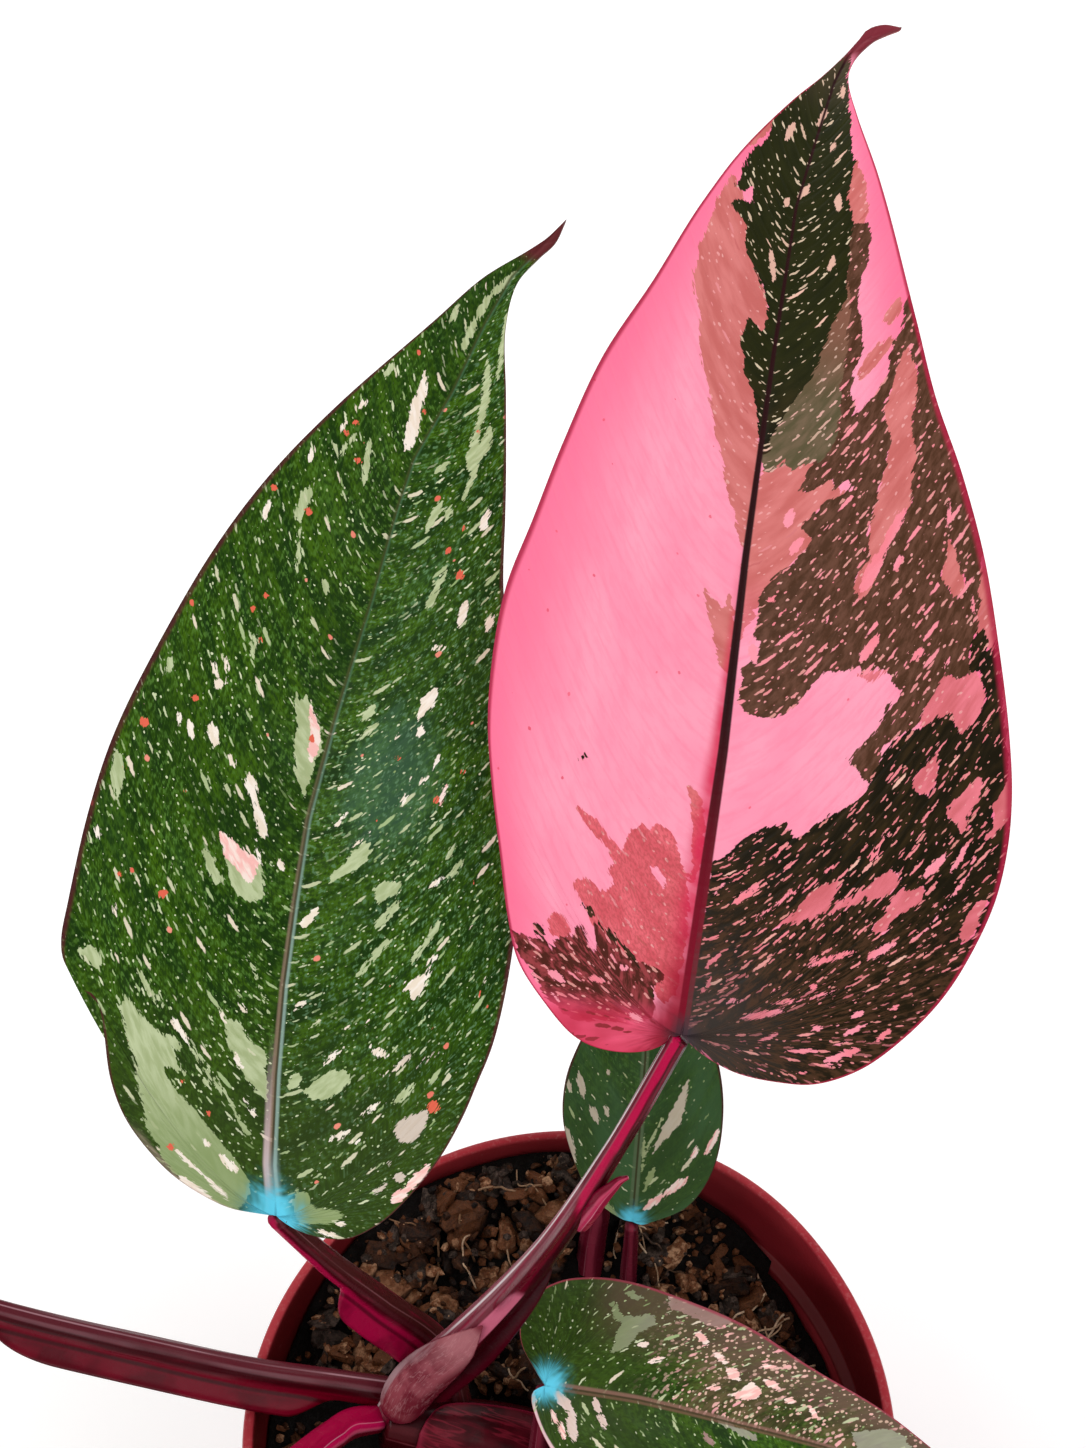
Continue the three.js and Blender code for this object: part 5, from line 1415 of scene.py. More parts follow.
class PinkLeaf(LeafNet):
    """Candy pink, with rose, grey, brown and near-black areas that are flecked along the veins."""

    def candy(self):
        """The pink itself, deeper at the margin, and its soft clouds."""
        n = self
        soft = n.noise(n.grain, 0.12, 3)
        color = n.mix(n.rise(soft, 0.35, 0.65), (0.98, 0.29, 0.425), (0.99, 0.345, 0.475))
        color = n.mix(n.rise(n.edge, 0.6, 1.0, 0, 0.85), color, (0.96, 0.15, 0.29))
        color = n.mix(n.times(n.vein_lines(4.0, 0.5), 0.2), color, (0.9, 0.2, 0.32))
        color = n.sprinkle(color, 7.0, 0.35, 0.25, 0.5, (0.7, 0.03, 0.07), (0.85, 0.1, 0.16), 0.7)
        streaked = n.times(n.rise(n.noise(n.streaks, 1.1, 4, 0.65), 0.46, 0.6), 0.22)
        return n.mix(streaked, color, (0.93, 0.2, 0.32)), soft

    def rose(self):
        """Pink over brown, with small pale flecks, redder low on the left and the right."""
        n = self
        tone = n.rise(n.noise(n.streaks, 0.5, 3), 0.35, 0.68)
        rose = n.mix(tone, (0.56, 0.135, 0.125), (0.68, 0.2, 0.19))
        low_left = n.times(n.rise(n.x, 50.0, 35.0), n.left)
        rose = n.mix(low_left, rose, n.mix(tone, (0.66, 0.092, 0.118), (0.83, 0.15, 0.185)))
        low_right = n.times(n.rise(n.x, 84.0, 70.0), n.right)
        rose = n.mix(low_right, rose, n.mix(tone, (0.62, 0.13, 0.15), (0.82, 0.2, 0.25)))
        rose = n.sprinkle(rose, 1.5, 0.45, 0.2, 0.7, (0.85, 0.42, 0.4), (0.85, 0.32, 0.33), 0.7)
        rose = n.sprinkle(rose, 3.1, 1.5, 0.22, 0.5, (0.88, 0.33, 0.36), (0.5, 0.1, 0.095), 0.7)
        speck = n.times(low_left, n.rise(n.noise(n.grain, 3.2, 3, 0.6), 0.42, 0.62, 0, 0.55))
        return n.mix(speck, rose, (0.42, 0.07, 0.075))

    def brown(self):
        """Brown, mottled finely, and red low on the left."""
        n = self
        tone = n.noise(n.grain, 0.8, 4, 0.65)
        brown = n.mix(n.rise(tone, 0.38, 0.66), (0.068, 0.027, 0.012), (0.135, 0.056, 0.034))
        red = n.mix(n.rise(tone, 0.44, 0.62), (0.075, 0.016, 0.01), (0.32, 0.05, 0.056))
        brown = n.mix(n.times(n.rise(n.x, 30.0, 20.0), n.left), brown, red)
        brown = n.sprinkle(brown, 1.5, 0.36, 0.2, 0.85, (0.8, 0.4, 0.36), (0.88, 0.24, 0.28), 0.9)
        brown = n.sprinkle(brown, 2.2, 1.2, 0.23, 0.8, (0.88, 0.26, 0.3), (0.68, 0.3, 0.26), 0.95)
        return n.sprinkle(brown, 4.2, 2.3, 0.34, 0.45, (0.93, 0.27, 0.34), (0.85, 0.28, 0.32))

    def hot(self, color, soft):
        """The colour with hot pink near the joint and the midrib, and brown dashes in the low lobe."""
        n = self
        hem = n.times(n.times(n.rise(n.x, 6.0, 0.5), n.left), 0.9)
        color = n.mix(hem, color, n.mix(n.rise(soft, 0.4, 0.6), (0.52, 0.02, 0.055), (0.82, 0.075, 0.16)))
        color = n.sprinkle(color, 2.4, 1.5, 0.42, 0.7, (0.2, 0.018, 0.016), (0.33, 0.03, 0.045), hem)
        reach = n.rise(n.x, 10.0, 75.0, 6.0, 2.2)
        glow = n.times(n.rise(n.rib, reach, n.times(reach, 0.3)), n.times(n.rise(n.x, 92.0, 55.0), n.left))
        glow = n.times(glow, n.rise(n.noise(n.streaks, 0.4, 3), 0.25, 0.6, 0.6, 1.0))
        tone = n.mix(n.rise(n.x, 8.0, 26.0), (0.36, 0.008, 0.03), (0.66, 0.02, 0.08))
        color = n.mix(n.times(glow, 0.92), color, tone)
        return n.mix(n.times(n.joint(2.0, 10.0), n.times(n.left, 0.85)), color, (0.26, 0.008, 0.024))

    def grey(self):
        """Grey, with long pale streaks."""
        n = self
        tone = n.rise(n.noise(n.streaks, 0.9, 3), 0.35, 0.7)
        grey = n.mix(tone, (0.095, 0.078, 0.036), (0.17, 0.115, 0.068))
        grey = n.mix(n.rise(n.x, 112.0, 132.0), grey, (0.22, 0.09, 0.058))
        grey = n.sprinkle(grey, 1.5, 0.4, 0.18, 0.8, (0.62, 0.42, 0.34), (0.5, 0.27, 0.2), 0.85)
        return n.sprinkle(grey, 2.2, 1.7, 0.2, 0.75, (0.7, 0.38, 0.33), (0.55, 0.36, 0.27))

    def dark(self):
        """Near black, with cream flecks towards the tip and pink ones below."""
        n = self
        tone = n.noise(n.streaks, 0.8, 3)
        dark = n.mix(n.rise(tone, 0.4, 0.7), (0.009, 0.006, 0.001), (0.032, 0.018, 0.005))
        olive = n.mix(tone, (0.005, 0.007, 0.0005), (0.026, 0.027, 0.003))
        dark = n.mix(n.rise(n.x, 100.0, 125.0), dark, olive)
        dark = n.mix(n.rise(n.x, 172.0, 190.0, 0, 0.4), dark, (0.13, 0.085, 0.05))
        reddish = n.rise(n.noise(n.streaks, 1.6, 4, 0.65), 0.44, 0.6, 0.05, 0.9)
        dark = n.mix(n.times(n.rise(n.x, 34.0, 18.0), reddish), dark, (0.07, 0.03, 0.014))
        cream_share = n.rise(n.x, 60.0, 110.0)
        dot = n.mix(cream_share, (0.68, 0.26, 0.22), (0.72, 0.6, 0.42))
        dash = n.mix(cream_share, (0.85, 0.27, 0.28), (0.6, 0.42, 0.3))
        low_share = n.times(n.rise(n.x, 100.0, 70.0), n.rise(n.x, 6.0, 20.0, 0.4, 1.0))
        for row in (
            (1.5, 0.34, 0.15, 0.75, dot, dash, 0.85),
            (2.4, 1.15, 0.2, 0.66, dash, dot, 0.95),
            (1.8, 1.1, 0.17, 0.7, dash, (0.8, 0.2, 0.23), n.times(low_share, 0.9)),
            (3.0, 2.1, 0.2, 0.6, dash, (0.88, 0.23, 0.28), low_share),
            (5.0, 2.0, 0.28, 0.3, dash, (0.85, 0.5, 0.4)),
        ):
            dark = n.sprinkle(dark, *row)
        return dark

    def strokes(self, color, soft):
        """The colour with the pink and cream strokes over it."""
        n = self
        pink = n.mix(n.rise(soft, 0.4, 0.6), (0.88, 0.22, 0.27), (0.93, 0.3, 0.38))
        color = n.mix(n.small_mark("pink", n.rise(n.x, 100.0, 60.0, 0.05, -0.35), 0.35), color, pink)
        return n.mix(n.small_mark("cream"), color, (0.72, 0.42, 0.33))

    def rib_and_rim(self, color):
        """The colour with the midrib, the dark joint with the stalk, the thin margin and the dark tail."""
        n = self
        width = n.rise(n.x, 0.0, 170.0, 1.0, 0.2)
        tone = n.mix(n.rise(n.x, 12.0, 60.0), (0.2, 0.004, 0.018), (0.022, 0.003, 0.004))
        color = n.mix(n.rise(n.less(n.rib, width), 0.22, -0.12), color, tone)
        smoke = n.times(n.joint(3.0, 26.0), n.less(1.0, n.left))
        color = n.mix(n.times(smoke, 0.55), color, (0.055, 0.045, 0.042))
        color = n.mix(n.times(n.joint(0.5, 4.5), 0.85), color, (0.05, 0.035, 0.045))
        color = n.mix(n.rise(n.edge, 0.975, 0.992, 0, 0.85), color, (0.42, 0.01, 0.05))
        return n.mix(n.rise(n.run, 0.985, 1.01), color, (0.2, 0.022, 0.035))


def pink_leaf_material():
    n = PinkLeaf("leaf_pink_variegated")
    color, soft = n.candy()
    color = n.mix(n.mark("rose", 0.35), color, n.rose())
    color = n.mix(n.mark("brown"), color, n.brown())
    color = n.hot(color, soft)
    color = n.mix(n.mark("grey", 0.3), color, n.grey())
    color = n.mix(n.mark("dark", 0.15), color, n.dark())
    color = n.rib_and_rim(n.strokes(color, soft))
    return n.close(color, 4.0, 0.5, (0.5, 0.2, 0.19), 0.34, 0.5)


class GreenLeaf(LeafNet):
    """Deep green, marbled along the veins, with pale, cream and pink marks, in one of three looks."""

    def __init__(self, name, look, crowded):
        super().__init__(name)
        self.coral = look == "coral spots"
        self.browned = look == "brown flush"
        self.bluish = look == "blue sheen"
        self.crowded = crowded
        self.signed = self.times(self.rib, self.half)
        self.marbled = self.noise(self.streaks, 0.55, 4, 0.62)
        self.pale_tone = self.noise(self.streaks, 1.2, 3)

    def green(self):
        """The marbled green with a painted sheen on the right half, and painted highlights and painted shade
        on the slopes of the hammered surface between its veins, as if lit from one side.
        """
        n = self
        color = n.mix(n.rise(n.marbled, 0.36, 0.64), (0.007, 0.032, 0.0004), (0.042, 0.108, 0.001))
        color = n.mix(n.rise(n.noise(n.grain, 0.09, 3), 0.5, 0.7, 0, 0.6), color, (0.01, 0.038, 0.001))
        # Painted sheen in clouds, stronger on the right half
        painted_sheen = n.rise(n.noise(n.streaks, 0.22, 2), 0.52, 0.72, 0, 0.5)
        color = n.mix(n.times(painted_sheen, n.rise(n.right, 0.0, 1.0, 0.3, 0.6)), color, (0.045, 0.13, 0.03))
        bumps = n.vein_place(0.7, 0.5)
        before = n.noise(bumps, 1.2, 3, 0.55)
        after = n.noise(n.shift("ADD", bumps, (0.16, 0.2, 0.0)), 1.2, 3, 0.55)
        slope = n.less(after, before)
        lit = n.rise(n.noise(n.grain, 0.12, 3), 0.36, 0.62, 0.15, 0.75)
        lit = n.times(lit, n.rise(n.right, 0.0, 1.0, 1.0, 0.7))
        # Painted highlights on the slopes facing the light, and painted shade on those facing away
        color = n.mix(n.rise(slope, 0.02, 0.12, 0, lit), color, (0.085, 0.2, 0.03))
        return n.mix(n.rise(slope, -0.015, -0.1, 0, 0.65), color, (0.006, 0.026, 0.001)), slope

    def painted_sheen_patch(self, color, slope):
        """The colour with a painted bluish sheen in the middle of the right half, and painted highlights on
        the slopes there.
        """
        n = self
        near_x = n.times(n.add(n.x, -80.0), 1 / 17)
        near_y = n.times(n.add(n.y, -4.0), 1 / 11)
        ragged = n.swing(n.noise(n.grain, 0.5, 3), 0.9)
        patch = n.rise(n.add(n.hypotenuse(near_x, near_y), ragged), 1.0, 0.4, 0, 0.5)
        # Painted sheen: a ragged bluish patch on the right half
        color = n.mix(n.times(patch, n.right), color, (0.05, 0.125, 0.068))
        # Painted highlights on the slopes of the right half
        return n.mix(n.rise(slope, 0.05, 0.15, 0, n.times(n.right, 0.35)), color, (0.16, 0.3, 0.19))

    def brown_flush(self, color):
        """The colour with brown over the left half and the tip, sprinkled with pink."""
        n = self
        region = n.add(n.times(n.rise(n.x, 14.0, 34.0), n.left), n.rise(n.x, 56.0, 84.0, 0, 0.85))
        flush = n.rise(n.add(region, n.swing(n.noise(n.streaks, 0.5, 4, 0.6), 2.2)), 0.5, 1.2)
        brown = n.mix(n.rise(n.marbled, 0.36, 0.62), (0.055, 0.046, 0.018), (0.15, 0.1, 0.052))
        brown = n.mix(n.rise(n.edge, 0.6, 0.95, 0, 0.7), brown, (0.19, 0.105, 0.08))
        color = n.mix(n.times(flush, 0.85), color, brown)
        pinker = n.times(n.rise(region, 0.0, 0.8), n.rise(n.noise(n.grain, 0.16, 3), 0.34, 0.54, 0.45, 1.0))
        top_tint = n.times(n.rise(n.edge, 0.3, 0.85, 0, 0.65), n.times(n.rise(n.x, 2.0, 12.0), n.left))
        color = n.mix(top_tint, color, (0.13, 0.082, 0.056))
        color = n.sprinkle(color, 1.05, 0.42, 0.26, 1.0, (0.84, 0.47, 0.42), (0.64, 0.47, 0.33), pinker)
        clump = n.times(pinker, n.rise(n.noise(n.grain, 0.28, 3), 0.42, 0.56, 0.12, 1.0))
        color = n.sprinkle(color, 2.0, 1.2, 0.3, 0.85, (0.92, 0.4, 0.43), (0.8, 0.5, 0.42), clump)
        strip = n.times(n.times(n.rise(n.edge, 0.8, 0.88), n.rise(n.x, 16.0, 9.0)), n.right)
        return n.mix(strip, color, (0.78, 0.52, 0.55))

    def freckles(self, color):
        """The colour with three sizes of pale flecks, and coral ones where the look has them."""
        n = self
        crowd = n.rise(n.noise(n.grain, 0.13, 2), 0.34, 0.6, 0.35, 1.0)
        for row in (
            (1.35, 0.28, 0.16, 0.85 * n.crowded, (0.72, 0.76, 0.52), (0.3, 0.42, 0.15), crowd),
            (2.4, 1.1, 0.18, 0.7 * n.crowded, (0.68, 0.72, 0.48), (0.28, 0.4, 0.15), crowd),
            (4.6, 2.0, 0.36, 0.5 * n.crowded, (0.8, 0.68, 0.54), (0.36, 0.47, 0.22)),
        ):
            color = n.sprinkle(color, *row)
        if n.coral:
            color = n.sprinkle(color, 9.5, 0.7, 0.45, 0.4, (0.75, 0.13, 0.08), (0.85, 0.3, 0.22))
        return color

    def pale(self):
        """The grey-green of the pale marks."""
        n = self
        pale = n.mix(n.rise(n.pale_tone, 0.35, 0.65), (0.37, 0.44, 0.22), (0.5, 0.57, 0.33))
        if n.browned:
            pale = n.mix(n.rise(n.marbled, 0.4, 0.6, 0.75, 0.95), pale, (0.27, 0.25, 0.2))
        pale = n.mix(n.rise(n.x, 26.0, 6.0, 0, 0.7), pale, (0.19, 0.27, 0.09))
        return n.sprinkle(pale, 2.6, 1.2, 0.25, 0.4, (0.72, 0.7, 0.5), (0.3, 0.38, 0.16), 0.7)

    def cream(self):
        """The cream of the cream marks, muted as the look has it."""
        n = self
        cream = n.mix(n.rise(n.pale_tone, 0.4, 0.6), (0.84, 0.72, 0.58), (0.93, 0.84, 0.74))
        if n.browned:
            muted = n.mix(n.marbled, (0.2, 0.11, 0.09), (0.36, 0.2, 0.18))
            cream = n.mix(n.rise(n.x, 15.0, 22.0, 0, 0.92), cream, muted)
            cream = n.mix(n.rise(n.x, 22.0, 15.0, 0, 0.6), cream, (0.62, 0.42, 0.4))
            outer = n.rise(n.x, 15.0, 22.0)
            cream = n.sprinkle(cream, 1.4, 0.5, 0.2, 0.6, (0.8, 0.5, 0.45), (0.14, 0.1, 0.05), outer)
        if n.coral:
            beige = n.times(n.rise(n.x, 48.0, 40.0), n.rise(n.y, 14.0, 18.0))
            cream = n.mix(n.times(beige, 0.8), cream, (0.56, 0.46, 0.38))
        if n.bluish:
            cream = n.mix(0.75, cream, (0.46, 0.42, 0.3))
        return cream

    def marks(self, color):
        """The colour with the pale, cream, pink and coral marks over it."""
        n = self
        color = n.mix(n.small_mark("pale", 0.05, 0.7), color, n.pale())
        color = n.mix(n.small_mark("cream", 0.0, 0.5), color, n.cream())
        blush = n.mix(n.rise(n.pale_tone, 0.42, 0.58), (0.93, 0.5, 0.46), (0.94, 0.76, 0.68))
        color = n.mix(n.small_mark("pink", 0.0, 0.4), color, blush)
        return n.mix(n.small_mark("spot"), color, (0.75, 0.13, 0.075))

    def midrib(self, color):
        """The colour with the midrib, a pale line with a dark one in it."""
        n = self
        left_line, right_line = (0.1, 0.15, 0.075), (0.13, 0.19, 0.1)
        if n.browned:
            left_line, right_line = (0.26, 0.13, 0.1), (0.16, 0.085, 0.05)
        if n.coral:
            fade = n.rise(n.x, 30.0, 110.0)
            left_line = n.mix(fade, (0.27, 0.18, 0.13), (0.05, 0.075, 0.015))
            # For the coral look, the pale cyan line on the right of the midrib near the joint is a painted
            # sheen
            right_line = n.mix(fade, (0.28, 0.4, 0.35), (0.05, 0.14, 0.06))
        lines = n.mix(n.rise(n.signed, -0.1, 0.1), left_line, right_line)
        width = n.rise(n.x, 0.0, 120.0, 0.85, 0.35)
        color = n.mix(n.rise(n.less(n.rib, width), 0.25, -0.2, 0, 0.8), color, lines)
        dark = n.rise(n.rib, 0.35, 0.08, 0, n.rise(n.x, 40.0, 100.0, 0.85, 0.4))
        return n.mix(dark, color, (0.04, 0.035, 0.012))

    def coral_details(self, color):
        """The colour with a pale line beside the midrib, a pink hem low on the left and a joint's halo."""
        n = self
        beside = n.math("ABSOLUTE", n.add(n.signed, 1.1))
        line = n.times(n.rise(n.x, 34.0, 8.0, 0, 0.8), n.rise(beside, 0.8, 0.2))
        color = n.mix(line, color, (0.7, 0.52, 0.53))
        hem = n.times(n.rise(n.edge, 0.8, 0.93, 0, 0.65), n.times(n.rise(n.x, 14.0, 6.0), n.left))
        color = n.mix(n.times(hem, n.rise(n.marbled, 0.4, 0.6, 0.3, 1.0)), color, (0.72, 0.5, 0.42))
        halo = n.times(n.rise(n.x, 14.0, 5.0, 0, 0.4), n.rise(n.rib, 1.8, 0.7))
        return n.mix(halo, color, (0.4, 0.58, 0.62))


def green_leaf_material(name, look, crowded, joint_size):
    n = GreenLeaf(name, look, crowded)
    color, slope = n.green()
    if n.coral:
        color = n.painted_sheen_patch(color, slope)
    color = n.mix(n.rise(n.x, 45.0, 12.0, 0, 0.6), color, (0.034, 0.055, 0.01))
    if n.browned:
        color = n.brown_flush(color)
    if n.bluish:
        color = n.mix(n.rise(n.noise(n.grain, 0.1, 3), 0.4, 0.65, 0.35, 0.9), color, (0.05, 0.12, 0.045))
    color = n.midrib(n.marks(n.freckles(color)))
    if n.coral:
        color = n.coral_details(color)
    # The blue joint, the maroon margin and the tail
    color = n.mix(n.times(n.joint(2.5 * joint_size, 9.0 * joint_size), 0.5), color, (0.035, 0.28, 0.3))
    color = n.mix(n.joint(1.5 * joint_size, 6.8 * joint_size), color, (0.12, 0.62, 0.82))
    rim_tone = (0.4, 0.05, 0.09) if n.browned else (0.085, 0.01, 0.018)
    color = n.mix(n.rise(n.edge, 0.972, 0.99, 0, 0.8), color, rim_tone)
    color = n.mix(n.rise(n.run, 0.975, 0.995), color, (0.12, 0.02, 0.022))
    return n.close(color, 4.4, 0.55, (0.13, 0.19, 0.07), 0.32, 0.48)


class StalkNet(Net):
    """A stalk's material, with its streaks and its painted gloss highlights at hand."""

    def __init__(self, name):
        super().__init__(name)
        self.side, self.share, self.out = [self.value(title) for title in ("side", "share", "out")]
        along = self.value("along")
        self.fine = self.vector(self.times(along, 0.1), self.value("around"), 0.0)
        self.slow = self.vector(self.times(along, 0.05), 0.0, 0.0)
        self.streaks = self.noise(self.fine, 0.8, 3)
        self.swung = self.add(self.side, self.swing(self.streaks, 0.6))

    def painted_gloss_line(self, color, at, width, tone, strength):
        """A painted gloss highlight: a pale line along one side of the stalk, stronger in some stretches."""
        stretch = self.noise(self.shift("ADD", self.slow, (0.0, at * 9, 0.0)), 1.0, 2)
        line = self.rise(self.away(self.side, at), width, 0.3 * width, 0, strength)
        return self.mix(self.times(line, self.rise(stretch, 0.35, 0.6, 0.3, 1)), color, tone)

    def close(self, color, low_rough, high_rough):
        """The finished stalk, with fine streaks in its surface."""
        place = self.place()
        height = self.add(self.streaks, self.times(self.noise(place, 1.5, 3), 0.3))
        rough = self.rise(self.noise(place, 0.25, 2), 0.3, 0.7, low_rough, high_rough)
        return self.finish(color, rough, height, 0.08, STALK_SPECULAR)


def first_stalk_material():
    """Bright magenta above, with painted shade at its right; dusty maroon and crimson below, on the folded
    wings, with painted shade at the right, a painted highlight along the left edge and painted gloss
    highlights along the left side.
    """
    n = StalkNet("stalk_magenta")
    # Painted shade: the right side of the upper stalk darkened to near black
    high = n.mix(n.rise(n.swung, 0.05, 0.3), (0.46, 0.003, 0.056), (0.045, 0.001, 0.004))
    high = n.mix(n.rise(n.streaks, 0.45, 0.7, 0, 0.5), high, (0.3, 0.002, 0.036))
    high = n.mix(n.rise(n.side, -0.5, -0.66, 0, 0.9), high, (0.085, 0.004, 0.012))
    low = n.mix(n.rise(n.swung, -0.5, -0.2), (0.18, 0.03, 0.046), (0.12, 0.001, 0.012))
    # Painted shade: the underside at the right of the lower stalk darkened to near black
    low = n.mix(n.rise(n.swung, 0.25, 0.5), low, (0.03, 0.0005, 0.003))
    # Painted highlight: a pale edge along the left of the lower stalk
    low = n.mix(n.rise(n.swung, -0.68, -0.95, 0, 0.6), low, (0.34, 0.12, 0.15))
    streaked = n.times(n.rise(n.streaks, 0.5, 0.66), n.rise(n.side, 0.3, 0.0, 0, 0.7))
    low = n.mix(streaked, low, (0.27, 0.004, 0.035))
    color = n.mix(n.rise(n.add(n.share, n.times(n.side, 0.05)), 0.63, 0.66), low, high)
    window = n.times(n.rise(n.share, 0.26, 0.3), n.rise(n.share, 0.44, 0.42))
    leaning = n.add(n.side, n.times(n.share, -0.9))
    across = n.times(n.rise(leaning, -0.62, -0.52), n.rise(leaning, 0.16, 0.08))
    color = n.mix(n.times(window, across), color, (0.58, 0.13, 0.21))
    color = n.mix(n.rise(n.out, 0.8, 2.2, 0, 0.85), color, (0.06, 0.0005, 0.006))
    # Painted gloss highlights: two pale lines along the left side
    color = n.painted_gloss_line(color, -0.6, 0.1, (0.46, 0.2, 0.25), 0.3)
    color = n.painted_gloss_line(color, -0.92, 0.05, (0.74, 0.64, 0.66), 0.9)
    return n.close(color, 0.2, 0.32)


def stalk_material(name, left, body, right, line, highlight_at):
    """A juicy stalk with one colour at the left, one in the middle and one at the right, painted shade in the
    crease where a wing leaves it, and painted gloss highlights along one side.
    """
    n = StalkNet(name)
    color = n.mix(n.rise(n.swung, -0.15, -0.5), body, left)
    color = n.mix(n.rise(n.swung, 0.1, 0.5), color, right)
    wing = n.mix(n.rise(n.streaks, 0.42, 0.6), left, tuple(0.5 * part for part in left))
    color = n.mix(n.rise(n.out, 0.7, 1.9, 0, 0.9), color, wing)
    # Painted shade: a dark line in the crease where a wing leaves the stalk
    fold_shade_and_sheen = n.rise(n.away(n.out, 0.75), 0.6, 0.1, 0, 0.8)
    color = n.mix(fold_shade_and_sheen, color, tuple(0.18 * part for part in left))
    color = n.mix(n.rise(n.streaks, 0.52, 0.75, 0, 0.3), color, left)
    # Painted gloss highlights: a sharp pale line and a broad faint one along one side
    color = n.painted_gloss_line(color, highlight_at, 0.05, line, 0.6)
    color = n.painted_gloss_line(color, highlight_at - 0.5, 0.22, line, 0.16)
    return n.close(color, 0.2, 0.34)


def cataphyll_material():
    """A thin sheath: dusty pink with curled pale veins, a painted highlight towards its top, a painted grey
    gloss highlight along its left edge and a crimson border.
    """
    n = StalkNet("sheath_pale")
    cloud = n.noise(n.place(), 0.16, 3)
    color = n.mix(n.rise(cloud, 0.4, 0.6), (0.17, 0.018, 0.032), (0.31, 0.072, 0.092))
    # Painted highlight: paler towards the top of the sheath
    color = n.mix(n.rise(n.share, 0.45, 0.8, 0, 0.6), color, (0.48, 0.18, 0.2))
    color = n.mix(n.rise(n.share, 0.35, 0.0, 0, 0.55), color, (0.2, 0.02, 0.032))
    color = n.mix(n.rise(n.swung, 0.25, 0.7, 0, 0.85), color, (0.13, 0.003, 0.014))
    for scale, turn in ((0.35, 0.0), (0.6, 7.0)):
        bent = n.noise(n.shift("ADD", n.fine, (turn, turn, 0.0)), scale, 3, 0.6)
        color = n.mix(n.rise(n.away(bent, 0.5), 0.01, 0.0, 0, 0.28), color, (0.6, 0.3, 0.32))
    # Painted gloss highlight: a pale grey band along the left edge
    color = n.mix(n.rise(n.swung, -0.7, -0.92, 0, 0.75), color, (0.42, 0.29, 0.31))
    color = n.mix(n.rise(n.out, 0.86, 0.97, 0, 0.85), color, (0.16, 0.006, 0.022))
    return n.close(color, 0.18, 0.3)


def old_sheath_material():
    """A dark red, worn sheath with painted highlights along soft folds and a few dull pink marks."""
    n = StalkNet("sheath_dark")
    cloud = n.noise(n.place(), 0.13, 3)
    color = n.mix(n.rise(cloud, 0.35, 0.65), (0.03, 0.001, 0.003), (0.085, 0.003, 0.009))
    color = n.mix(n.rise(n.streaks, 0.5, 0.72, 0, 0.4), color, (0.19, 0.003, 0.018))
    # Painted highlights: pale thin lines along the soft folds
    fold_shade_and_sheen = n.rise(n.away(n.noise(n.fine, 0.3, 3, 0.6), 0.52), 0.03, 0.0, 0, 0.5)
    color = n.mix(n.times(fold_shade_and_sheen, 0.7), color, (0.34, 0.02, 0.045))
    color = n.mix(n.rise(n.out, 0.9, 0.98, 0, 0.7), color, (0.25, 0.01, 0.035))
    return n.close(color, 0.25, 0.42)


def pot_material():
    """Brick-red moulded plastic, with painted shade a little below the top edge and inside the collar, and
    paler at the worn lip.
    """
    n = Net("pot_brick_plastic")
    place = n.place()
    x, y, z = n.node("SeparateXYZ", place).outputs
    cloud = n.noise(place, 0.04, 3)
    grit = n.noise(place, 1.2, 4, 0.6)
    color = n.mix(n.rise(cloud, 0.35, 0.65), (0.33, 0.022, 0.032), (0.41, 0.036, 0.048))
    # Painted shade: darker a little below the top edge, inside and out
    color = n.mix(n.rise(z, POT_HEIGHT - 1.4, POT_HEIGHT - 8, 0, 0.4), color, (0.07, 0.002, 0.003))
    # Painted shade on the inner wall of the collar: dark at the sides and front, lighter at the back
    inner = n.rise(n.hypotenuse(x, y), LIP_INNER + 0.3, LIP_INNER - 0.1)
    inner = n.times(inner, n.rise(z, LEDGE - 0.8, LEDGE - 0.2))
    color = n.mix(inner, color, n.mix(n.rise(y, 30.0, 58.0), (0.1, 0.005, 0.007), (0.26, 0.02, 0.026)))
    worn = n.times(n.rise(z, POT_HEIGHT - 1.1, POT_HEIGHT - 0.1), n.rise(grit, 0.5, 0.72))
    color = n.mix(n.times(worn, 0.25), color, (0.5, 0.2, 0.2))
    color = n.mix(n.flecks(place, 0.12, 0.05, 0.5), color, (0.5, 0.3, 0.28))
    gloss = n.rise(n.add(cloud, n.times(grit, 0.4)), 0.5, 0.9, 0.3, 0.45)
    return n.finish(color, gloss, grit, 0.05, POT_SPECULAR)


def soil_material(name, dark, mid, pale, rough):
    """Bark and peat: each lump has its own tone, from near black through brown to tan, with fine grain, and
    painted shade low on each lump.
    """
    n = Net(name)
    place = n.place()
    tone = n.value("tone")
    grain = n.noise(place, 0.7, 4, 0.65)
    fine = n.noise(place, 3.0, 3, 0.6)
    color = n.mix(n.rise(n.add(tone, n.times(grain, 0.5)), 0.48, 1.1), dark, mid)
    color = n.mix(n.times(n.rise(tone, 0.72, 0.98), n.rise(grain, 0.42, 0.62)), color, pale)
    grey = n.mix(n.rise(grain, 0.42, 0.62), (0.022, 0.013, 0.009), (0.085, 0.056, 0.044))
    color = n.mix(n.rise(tone, 0.26, 0.2), color, grey)
    color = n.mix(n.rise(fine, 0.48, 0.72, 0, 0.6), color, dark)
    color = n.mix(n.flecks(place, 0.8, 0.16, 0.3), color, pale)
    # Painted shade: each lump darker towards its foot, where lumps shade one another
    color = n.mix(n.rise(n.value("lift"), 0.45, -0.35, 0, 0.93), color, dark)
    gloss = n.rise(grain, 0.3, 0.7, rough - 0.2, rough + 0.15)
    return n.finish(color, gloss, n.add(grain, n.times(fine, 0.5)), 0.6, SOIL_SPECULAR)


